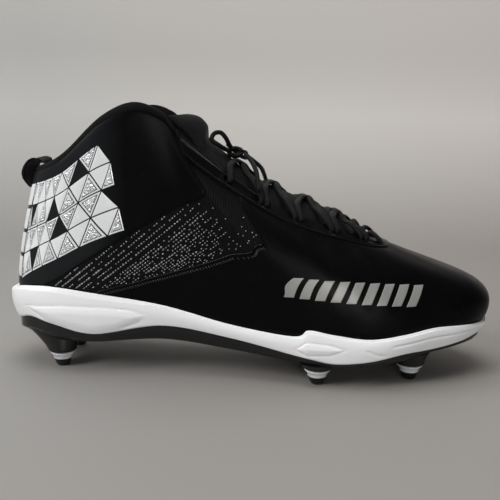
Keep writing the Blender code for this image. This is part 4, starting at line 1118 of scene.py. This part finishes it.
def makeCup():
    places = np.linspace(0, loopRows, cup["columns"], endpoint=False)
    rim, split = level("rim", places), level("split", places)
    tuckLoop = insetOf("tuck", places)
    rings = []
    for share in np.concatenate([[0.0, 0.015, 0.04], np.linspace(0.08, 0.9, cup["rows"])]):
        top = share ** 3 * shoe["rim"] * 0.9
        tuck = tuckLoop * (1 - share) ** 2 + 0.0006 * (1 - smoothStep(0, 0.04, share))
        base = outline(places, tuck + top)
        z = split + (rim - split) * share
        rings.append(outline(places, tuck + top - cupRelief(base[:, 0], z), z))
    gap = shoe["clearance"]
    for drop, out in ((0.0010, 1.05), (0.0005, 1.0), (0.0001, 0.8),
                      (0.0, 0.5), (0.0003, 0.15), (0.0009, 0.0)):
        share = shareAtLevel(places, rim - drop)
        rings.append(onUpper(places, share, gap + out * shoe["rim"])[0])
    bed = level("bed", places)
    for part in (0.55, 0.0):
        share = shareAtLevel(places, bed + gap + (rim - bed) * part)
        ring = onUpper(places, share, gap)[0]
        if part == 0:
            ring[:, 2] = bed
        rings.append(ring)
    rings, faces = ringStack(rings)
    made = newMesh("midsoleCup", rings, faces, soleWhite, angle=55)
    return settle(made, "white sole", "midsole")


def ringsBetween(first, rings, last, flip=False):
    # a closed part of rings of points between two end points
    steps, end = len(rings[0]), 1 + len(rings) * len(rings[0])
    faces = [(0, 1 + (spot + 1) % steps, 1 + spot) for spot in range(steps)]
    for low in range(1, end - steps, steps):
        faces += [(low + spot, low + (spot + 1) % steps, low + steps + (spot + 1) % steps, low + steps + spot)
                  for spot in range(steps)]
    faces += [(end - steps + spot, end - steps + (spot + 1) % steps, end) for spot in range(steps)]
    points = [first, *(point for ring in rings for point in ring), last]
    return np.array(points, float), [face[::-1] if flip else face for face in faces], np.zeros((end + 1, 2))


def turned(profile, x, y):
    # a closed turned part from radius and height pairs, first and last on the axis
    turn = np.linspace(0, 2 * math.pi, 40, endpoint=False)
    rings = [[(x + radius * math.cos(a), y + radius * math.sin(a), z) for a in turn]
             for radius, z in profile[1:-1]]
    start, end = profile[0][1], profile[-1][1]
    return ringsBetween((x, y, start), rings, (x, y, end), start > end)


def bellyAt(x):
    rows = np.linspace(0, lastRow, 400)
    along = between(alongLoop, rows)
    return float(np.interp(x, np.maximum.accumulate(along), level("belly", rows)))


heelBoss = {"rise": 0.0165, "back": 0.0056, "inward": 0.0025, "reach": 0.0185,
            "width": 0.0105, "foot": 0.0085,
            "edge": 0.0008}


def leaningBoss(x, y, low):
    # the heel's bosses spread out towards the plate and lean back and inwards
    turn = np.linspace(0, 2 * math.pi, 48, endpoint=False)
    steps = [(0.0, 0.0070, 0.0), (0.0, 0.0080, 0.0002), (0.0, heelBoss["foot"], heelBoss["edge"])]
    steps += [(part ** 1.25, heelBoss["foot"],
               heelBoss["edge"] + (heelBoss["rise"] - heelBoss["edge"]) * part)
              for part in np.linspace(0.08, 1, 14)]
    side = -heelBoss["inward"] if y > 0 else heelBoss["inward"]
    rings = []
    for part, radius, lift in steps:
        reach = radius + (heelBoss["reach"] - radius) * part
        wide = radius + (heelBoss["width"] - radius) * part
        middle = x - heelBoss["back"] * part
        rings.append([(middle + reach * math.cos(a), y + side * part + wide * math.sin(a), low + lift)
                      for a in turn])
    return ringsBetween((x, y, low), rings, (x - heelBoss["back"], y + side, low + heelBoss["rise"]))


def makePlate():
    places = np.linspace(0, loopRows, cup["columns"], endpoint=False)
    belly, split = level("belly", places), level("split", places) - shoe["clearance"]
    tuck, draft = insetOf("tuck", places) + cup["step"], insetOf("draft", places) + cup["ledge"]
    rings = []
    for share, inset, lift in ((0.0, 0.0022, 0.0), (0.0, 0.0008, 0.0001),
                               (0.03, 0.0002, 0.0), (0.1, 0.0, 0.0),
                               (0.3, 0.0, 0.0), (0.44, 0.0, 0.0)):
        ring = outline(places, draft + (tuck + cup["ledge"] - draft) * min(1, share / 0.47) + inset)
        ring[:, 2] = belly + (split - belly) * share + lift
        rings.append(ring)
    for share, inset in ((0.47, cup["ledge"]), (0.49, cup["ledge"] * 0.9),
                         (0.52, 0.0002), (0.56, 0.0), (0.7, 0.0),
                         (0.85, 0.0), (1.0, 0.0)):
        ring = outline(places, tuck + inset)
        ring[:, 2] = belly + (split - belly) * share
        rings.append(ring)
    rings, faces = ringStack(rings)
    parts = [(rings.reshape(-1, 3), faces, np.zeros((rings[..., 0].size, 2)))]
    for x, y in studSpots.values():
        x, y = x * shoe["length"], y * shoe["ballWidth"]
        low = shoe["studLength"]
        if x < 0.1:
            parts.append(leaningBoss(x, y, low))
            continue
        top = bellyAt(x) + 0.0018
        rise = top - low
        wide = 0.0022 + 0.10 * rise
        profile = [(0, low), (0.0070, low), (0.0081, low + 0.0002), (0.0085, low + 0.0007)]
        profile += [(0.0085 + wide * part ** 1.8, low + rise * part)
                    for part in (0.2, 0.4, 0.6, 0.8, 0.92, 1.0)]
        parts.append(turned([*profile, (0, top)], x, y))
    made = joinParts("solePlate", parts, plateBlack, angle=45)
    return settle(made, "black plate", "outsole")


def makeStuds():
    top = shoe["studLength"] - shoe["clearance"]
    waist = top - 0.0044
    for name, (x, y) in studSpots.items():
        x, y = x * shoe["length"], y * shoe["ballWidth"]
        flange = [(0, top), (0.0070, top), (0.0075, top - 0.0002),
                  (0.0076, top - 0.0006), (0.0074, top - 0.0011),
                  (0.0064, top - 0.0020), (0.0059, top - 0.0027), (0.0057, waist + 0.0004),
                  (0.0055, waist), (0, waist)]
        tip = [(0, waist - 0.00002), (0.0051, waist - 0.00002), (0.0053, waist - 0.0003), (0.0047, 0.0026),
               (0.0039, 0.0009), (0.0036, 0.0004), (0.0031, 0.0001), (0.0026, 0.0), (0, 0.0)]
        collar = joinParts("studCollar_" + name, [turned(flange, x, y)], studPale, angle=40)
        point = joinParts("studTip_" + name, [turned(tip, x, y)], plateBlack, angle=40)
        settle(collar, "stud", "stud_" + name)
        settle(point, "stud", "stud_" + name)


insole = {"columns": 240, "margin": 0.0009, "dish": 0.0006,
          "edge": ((shoe["clearance"], 0.0), (0.0018, 0.0), (0.0024, 0.0003), (0.0030, 0.0008),
                   (0.0032, 0.0016))}


def makeInsole():
    count = insole["columns"]
    places = np.linspace(0, loopRows, count, endpoint=False)
    margin = shoe["wall"] + shoe["clearance"] + insole["margin"]
    foot, bed = footInset(places), level("bed", places)
    rings = []
    for lift, extra in insole["edge"]:
        rings.append(outline(places, foot + margin + extra, bed + lift))
    edge = rings[-1]
    middle = (edge + edge[(-np.arange(count)) % count]) / 2
    for part in (0.8, 0.55, 0.25):
        ring = middle + (edge - middle) * part
        ring[:, 2] -= insole["dish"] * (1 - part)
        rings.append(ring)
    rings, faces = ringStack(rings)
    made = newMesh("sockLiner", rings, faces, sockCloth, rings.reshape(-1, 3)[:, :2], angle=50)
    return settle(made, "insole fabric", "insole")


makeCup()
makePlate()
makeStuds()
makeInsole()
print("sole made")


# Laces
lace = {"radius": 0.00135, "lift": 0.0012, "split": 0.0017, "flat": 0.85, "broad": 1.45, "dip": 0.06,
        "through": -0.0006}


def eyeletSpot(row, side, lift):
    place = row if side < 0 else loopRows - row
    return upperSpot(place, shareBelowEdge(place, stay["inset"])[0], lift)


def edgeRows(row, distance):
    step = 0.1
    ends = bezier(handles(np.array([row - step, row + step])), np.array([1.0, 1.0]))
    return distance * 2 * step / float(np.linalg.norm(ends[1] - ends[0]))


def makeCrossings():
    over = shoe["clearance"] + stay["thick"] + lace["lift"] + lace["radius"]
    for number in range(len(eyeletPlaces) - 1):
        low = eyeletPlaces[number] - edgeRows(eyeletPlaces[number], lace["split"])
        high = eyeletPlaces[number + 1] + edgeRows(eyeletPlaces[number + 1], lace["split"])
        parts = []
        for side in (-1, 1):
            stack = lace["radius"] * (0.35 if side > 0 else 0.0)
            route = [eyeletSpot(low, side, lace["through"]), eyeletSpot(low, side, over * 0.62)]
            for across in (0.86, 0.5, 0.22, -0.22, -0.5, -0.86):
                row = (low + high) / 2 + (low - high) / 2 * across
                flat = abs(across) < 0.6
                point = throatPoint(row, side * across, 0.0 if flat else -over, crownAt(row))
                if flat:
                    point[2] += lace["lift"] + lace["radius"] + stack - shoe["wall"] - tongue["gap"]
                else:
                    point[2] -= lace["dip"] * crownAt(row)
                route.append(point)
            route += [eyeletSpot(high, -side, over * 0.62), eyeletSpot(high, -side, lace["through"])]
            parts.append(tubePart(smoothRoute(route, 6), lace["radius"], 14, lace["flat"], lace["broad"]))
        settle(joinParts(f"laceCross{number + 1}", parts, laceCloth), "lace", f"lace_crossing_{number + 1}")


freeLaces = {
    "lace_loop_lateral": ((-0.0025, -0.0032, 0.0025), (-0.0055, -0.0065, 0.0085), (-0.0085, -0.0075, 0.0115),
                          (-0.0120, -0.0085, 0.0110), (-0.0135, -0.0100, 0.0075), (-0.0095, -0.0110, 0.0045),
                          (-0.0032, -0.0066, 0.0006)),
    "lace_loop_medial": ((-0.0021, 0.0037, 0.0022), (-0.0050, 0.0110, 0.0040), (-0.0040, 0.0190, 0.0025),
                         (0.0010, 0.0260, -0.0025), (0.0060, 0.0240, -0.0045), (0.0060, 0.0155, -0.0010),
                         (0.0035, 0.0075, 0.0002)),
    "lace_end_lateral": ((0.0062, -0.0040, -0.0012), (0.0092, -0.0090, -0.0036), (0.0118, -0.0160, -0.0070),
                         (0.0137, -0.0235, -0.0118), (0.0150, -0.0310, -0.0205)),
    "lace_end_medial": ((0.0058, 0.0012, -0.0012), (0.0120, 0.0080, -0.0062), (0.0158, 0.0165, -0.0102),
                        (0.0178, 0.0250, -0.0148), (0.0195, 0.0315, -0.0205)),
}
knotSpot = np.array((0.467 * shoe["length"], 0, shoe["studLength"] + 0.822 * shoe["collarRise"]))


knot = {"half": 0.0036, "height": 0.0022, "turns": ((-0.0013, 0.5), (0.0013, -0.5))}


def makeKnot():
    # the knot: two turns of lace drawn tight round the crossing
    parts = []
    turn = np.linspace(0, 2 * math.pi, 26)[:-1]
    for spread, tilt in knot["turns"]:
        ring = np.stack([knot["half"] * np.cos(turn), spread + tilt * knot["height"] * np.sin(turn),
                         knot["height"] * np.sin(turn)], -1)
        ring = np.vstack([ring, ring[:1] + (0.00001, 0.0001, 0)])
        parts.append(tubePart(knotSpot + ring, lace["radius"] * 1.08, 14))
    cross = np.array(((-0.0040, -0.0022, 0.0012), (-0.0015, -0.0010, 0.0019), (0.0015, 0.0010, 0.0019),
                      (0.0042, 0.0022, 0.0008)))
    parts.append(tubePart(smoothRoute(knotSpot + cross, 6), lace["radius"] * 1.05, 14))
    return settle(joinParts("laceKnot", parts, laceCloth), "lace", "lace_knot")


def makeFreeLaces():
    names = {"lace_loop_lateral": "laceLoopOuter", "lace_loop_medial": "laceLoopInner",
             "lace_end_lateral": "laceEndOuter", "lace_end_medial": "laceEndInner"}
    for node, route in freeLaces.items():
        line = smoothRoute(knotSpot + np.array(route), 8)
        points, faces, uv = tubePart(line, lace["radius"], 14)
        made = newMesh(names[node], points, faces, laceCloth, uv)
        settle(made, "lace", node)


makeKnot()
makeCrossings()
makeFreeLaces()
print("laces made")


# Silver foil over the heel: rows of slanted triangles, some left bare and every other one embossed
foilCorners = ((15.5, 54.0), (78.8, 86.4), (70.5, 137.0), (27.0, 111.5))
mosaic = {"rows": (0.0, 0.26, 0.50, 0.76, 1.0), "across": 6, "gap": 0.088, "embossed": 2, "thick": 0.00035,
          "bare": ((0, 3), (1, 8), (2, 1), (2, 6), (3, 10)), "rim": (0.25, 0.00030, 0.00010),
          "facet": (0.34, 0.00038, 0.00032)}


def platePart(corners, offset, thick, cells=7, relief=None):
    # a thin closed plate over the upper between four places and shares
    spots = np.linspace(0, 1, cells)
    u, v = np.meshgrid(spots, spots, indexing="ij")
    a, b, c, d = (np.array(corner) for corner in corners)
    flat = (a * ((1 - u) * (1 - v))[..., None] + b * (u * (1 - v))[..., None] + c * (u * v)[..., None]
            + d * ((1 - u) * v)[..., None])
    rim = np.minimum(np.minimum(u, 1 - u), np.minimum(v, 1 - v)) > 0
    place, share = flat[..., 0], flat[..., 1]
    swell = relief(onUpper(place, share)[0]) if relief else 0.0
    outer, _ = onUpper(place, share, offset + swell + thick * np.where(rim, 1.0, 0.55))
    inner, _ = onUpper(place, share, offset + swell - 0.0003)
    faces = shellFaces(cells, cells)
    if np.cross(b - a, d - a) < 0:
        faces = [face[::-1] for face in faces]
    return (np.concatenate([outer.reshape(-1, 3), inner.reshape(-1, 3)]), faces,
            np.concatenate([flat.reshape(-1, 2)] * 2))


def makeShards():
    corners = spotsOnSide(foilCorners)
    base = shoe["clearance"] + heelSkin["thick"]

    def quadOf(triangle, tip, centre=0.0, shrink=0.0):
        # the triangle's places on the side, as a quad with a blunt tip, drawn in to its centre
        a, b, c, d = corners
        spots = [corner + (centre - corner) * shrink for corner in (*triangle, tip)]
        return [a * (1 - u) * (1 - v) + b * u * (1 - v) + c * u * v + d * (1 - u) * v for u, v in spots]

    bright, facets, edges = [], [], []
    rows, across = mosaic["rows"], mosaic["across"]
    for row, (lower, upper) in enumerate(zip(rows, rows[1:])):
        slide = (0.0, 0.5)[row % 2]
        for number in range(2 * across + 1):
            up = number % 2 == 0
            near, middle, far = ((number + step) / 2 - slide for step in (-1, 0, 1))
            tall, short = (lower, upper) if up else (upper, lower)
            triangle = [np.clip((near / across, tall), 0, 1), np.clip((far / across, tall), 0, 1),
                        np.clip((middle / across, short), 0, 1)]
            if (row, number) in mosaic["bare"] or abs(triangle[0][0] - triangle[1][0]) < 0.04:
                continue
            centre = sum(triangle) / 3
            triangle = [corner + (centre - corner) * mosaic["gap"] for corner in triangle]
            tip = triangle[2] + (triangle[0] - triangle[2]) * 0.05
            group = [(bright, 0.0, 0.0, mosaic["thick"])]
            if (number + row) % mosaic["embossed"] == 0:
                group += [(edges, *mosaic["rim"]), (facets, *mosaic["facet"])]
            for parts, shrink, lift, thick in group:
                quad = quadOf(triangle, tip, centre, shrink)
                for sides in (quad, mirrored(quad)):
                    parts.append(platePart(sides, base + lift, thick))
    left, right = corners[0], corners[3]
    for low, high in ((0.0, 0.24), (0.25, 0.49), (0.50, 0.74), (0.75, 1.0)):
        sides = []
        for v in (low + 0.02, high - 0.01):
            share = left[1] + (right[1] - left[1]) * v
            reach = (left[0] + (right[0] - left[0]) * v) * 0.92
            sides.append((reach, share))
        (near, lowShare), (far, topShare) = sides
        quad = [np.array(pair) for pair in ((-near, lowShare), (near, lowShare),
                                            (far, topShare), (-far, topShare))]
        bright.append(platePart(quad, base, mosaic["thick"], 12))
    for name, parts, material in (("silverShards", bright, silverFoil), ("silverFacets", facets, facetFoil),
                                  ("facetEdges", edges, charcoalFilm)):
        settle(joinParts(name, parts, material, angle=40), "charcoal film")


# Grey printed bars over the forefoot: an even band of equal slanted bars
bars = {"count": 9, "start": 170.0, "step": 8.6, "wide": 5.6, "lean": 5.0, "low": (52.5, 47.5), "tall": 11.0,
        "thick": 0.00022}


def makeBars():
    base = shoe["clearance"] + vampSkin["thick"]
    parts = []
    for number in range(bars["count"]):
        start = bars["start"] + number * bars["step"]
        low = np.interp(number, (0, bars["count"] - 1), bars["low"])
        top = low + bars["tall"]
        end, lean = start + bars["wide"], bars["lean"]
        quad = list(spotsOnSide(((start, low), (end, low), (end + lean, top), (start + lean, top))))
        for sides in (quad, mirrored(quad)):
            parts.append(platePart(sides, base, bars["thick"], 16, vampRelief))
    settle(joinParts("greyBars", parts, greyPrint, angle=40), "black film")


# Glossy beads moulded on the mesh in slanted strings, coloured light grey as painted glints, and the stitched
# seam
beads = {"first": 32, "last": 156, "gap": 4.1, "pitch": 1.85, "length": 0.00086, "width": 0.00064,
         "rise": 0.00062, "seed": 4, "strength": (1.0, 0.62, 0.82, 0.5), "front": 164, "least": 0.26}
beadFoot = ((30, 52.2), (50, 50.5), (57, 50.0))
beadTop = ((126, 114), (137, 111), (157, 98), (176, 90))


def makeBeads():
    chance = np.random.default_rng(beads["seed"])
    parts = []
    for number, start in enumerate(np.arange(beads["first"], beads["last"], beads["gap"])):
        z = np.interp(start, *np.array(beadFoot if start < beadFoot[-1][0] else seamLine).T)
        turn = math.radians(np.interp(start, (30, 156), (39, 29)))
        strong = beads["strength"][number % len(beads["strength"])]
        line = []
        for step in np.arange(2.0, 96.0, beads["pitch"]):
            x, up = start + step * math.cos(turn), z + step * math.sin(turn) * (1 + 0.0012 * step)
            overHeel = up > np.interp(x, *np.array(heelEdge).T) - 1.6
            overStay = x > beadTop[0][0] and up > np.interp(x, *np.array(beadTop).T) - 1.5
            if overHeel or overStay or x > beads["front"]:
                break
            line.append((x, up, step))
        if len(line) < 3:
            continue
        place, share = spotsOnSide([spot[:2] for spot in line[::4] + line[-1:]]).T
        marks = [*range(0, len(line), 4), len(line) - 1]
        place = np.interp(range(len(line)), marks, place)
        share = np.interp(range(len(line)), marks, share)
        strings = []
        for side in (place, loopRows - place):
            centre, normal = onUpper(side, share)
            strings.append((centre, normal, np.gradient(centre, axis=0)))
        for spot, (x, up, step) in enumerate(line):
            rear = smoothStep(26, 8, step) * smoothStep(66, 44, start)
            fade = smoothStep(112, 90, up) * (0.55 + 0.45 * smoothStep(6, 16, step))
            fade *= 1 - 0.72 * smoothStep(104, 142, x)
            grow = strong * fade * chance.uniform(0.1, 1.45)
            if grow < beads["least"]:
                continue
            size = (beads["length"] * (0.55 + 0.45 * grow) * (1 + 0.9 * rear),
                    beads["width"] * (0.45 + 0.55 * grow),
                    beads["rise"] * grow * (1 - 0.35 * rear))
            parts += [domePart(centre[spot], normal[spot], run[spot], size)
                      for centre, normal, run in strings]
    settle(joinParts("meshBeads", parts, beadPaintedGlint), "upper mesh")


seam = {"spacing": 0.0015, "radius": 0.00055, "below": 0.018,
        "stitch": (0.00105, 0.00034, 0.00034), "slant": 0.7}


def makeSeam():
    ridges, stitches = [], []
    base = shoe["clearance"] + vampSkin["thick"]
    for medial in (False, True):
        place, share = alongSide(seamLine, seam["spacing"], medial)
        line, normal = onUpper(place, share, base * 0.6)
        ridges.append(tubePart(line, seam["radius"], 8))
        below, _ = onUpper(place, share - seam["below"], base)
        run = np.gradient(line, axis=0)
        for spot in range(1, len(line) - 1):
            down = np.cross(run[spot], normal[spot])
            down *= -1 if down[2] > 0 else 1
            down /= np.linalg.norm(down)
            ahead = run[spot] / np.linalg.norm(run[spot])
            stitches.append(domePart(below[spot], normal[spot], down + seam["slant"] * ahead, seam["stitch"]))
    settle(joinParts("seamPiping", ridges, stayFilm), "black film")
    settle(joinParts("seamStitches", stitches, threadBlack), "black film")


makeShards()
makeBars()
makeBeads()
makeSeam()
print("trim made")


# Stage and lights
stage = {"wall": 0.62, "curve": 0.25, "front": -1.6, "side": 2.4, "top": 2.2, "tone": (0.28, 0.275, 0.265)}
# The lights: name, place, aim, size, power and colour.
lights = (
    ("windowLeft", (-1.05, -0.75, 0.95), (0.02, 0, 0.06), (0.55, 0.8), 17, (1.0, 0.99, 0.97)),
    ("overhead", (-0.1, 0.0, 1.35), (0, 0.05, 0), (1.3, 0.8), 15, (0.98, 0.99, 1.0)),
    ("frontLow", (0.4, -1.5, 0.14), (0.02, 0, 0.05), (0.45, 0.45), 6.5, (1.0, 0.98, 0.96)),
    ("wallGlow", (-0.8, 0.1, 0.9), (-0.45, 0.62, 0.35), (0.5, 0.5), 2.0, (1.0, 0.98, 0.95)),
)


def makeStage():
    material, tree, shader = newMaterial("paleStage", stage["tone"], 0.62)
    place = put(tree, "ShaderNodeTexCoord").outputs["Object"]
    noise = put(tree, "ShaderNodeTexNoise", {"Vector": place, "Scale": 3.0, "Detail": 2.0})
    axes = put(tree, "ShaderNodeSeparateXYZ", {"Vector": place}).outputs
    # painted light: the floor is kept darker than the wall, and both get brighter towards the right, standing
    # in for how the lamps light the sweep
    across = stretch(tree, axes["X"], 0, 1, -0.35, 0.55)
    ground = mixColours(tree, across, (0.215, 0.211, 0.204), (0.262, 0.238, 0.214))
    wall = mixColours(tree, across, (0.345, 0.338, 0.325), (0.60, 0.565, 0.54))
    tone = mixColours(tree, stretch(tree, axes["Z"], 0, 1, 0.0, 0.16), ground, wall)
    tone = mixColours(tree, maths(tree, "MULTIPLY", noise.outputs["Fac"], 0.06), tone, (0.30, 0.29, 0.28))
    tree.links.new(tone, shader.inputs["Base Color"])
    bend, curve = stage["wall"] - stage["curve"], stage["curve"]
    profile = [(stage["front"], 0.0), (bend, 0.0)]
    for turn in np.radians(np.arange(10, 91, 10)):
        profile.append((bend + curve * math.sin(turn), curve * (1 - math.cos(turn))))
    profile.append((stage["wall"], stage["top"]))
    points = [(x, y, z) for x in (-stage["side"], stage["side"]) for y, z in profile]
    count = len(profile)
    faces = [(spot, count + spot, count + spot + 1, spot + 1) for spot in range(count - 1)]
    mesh = bpy.data.meshes.new("paleSweep")
    mesh.from_pydata(points, [], faces)
    mesh.materials.append(material)
    mesh.shade_smooth()
    sweep = bpy.data.objects.new("paleSweep", mesh)
    bpy.context.scene.collection.objects.link(sweep)


def areaLight(name, spot, aim, size, power, colour):
    light = bpy.data.lights.new(name, "AREA")
    light.shape = "RECTANGLE"
    light.size, light.size_y = size
    light.energy = power
    light.color = colour
    holder = bpy.data.objects.new(name, light)
    holder.location = spot
    holder.rotation_euler = (Vector(aim) - Vector(spot)).to_track_quat("-Z", "Y").to_euler()
    bpy.context.scene.collection.objects.link(holder)


def makeLights():
    shown = bpy.context.scene.view_settings
    shown.view_transform = "Standard"
    shown.look = "None"
    shown.exposure = 0.0
    world = bpy.data.worlds.new("softRoom")
    world.use_nodes = True
    world.node_tree.nodes["Background"].inputs["Color"].default_value = (0.86, 0.88, 0.92, 1)
    world.node_tree.nodes["Background"].inputs["Strength"].default_value = 0.10
    bpy.context.scene.world = world
    for light in lights:
        areaLight(*light)


makeStage()
makeLights()
print("stage and lights made")
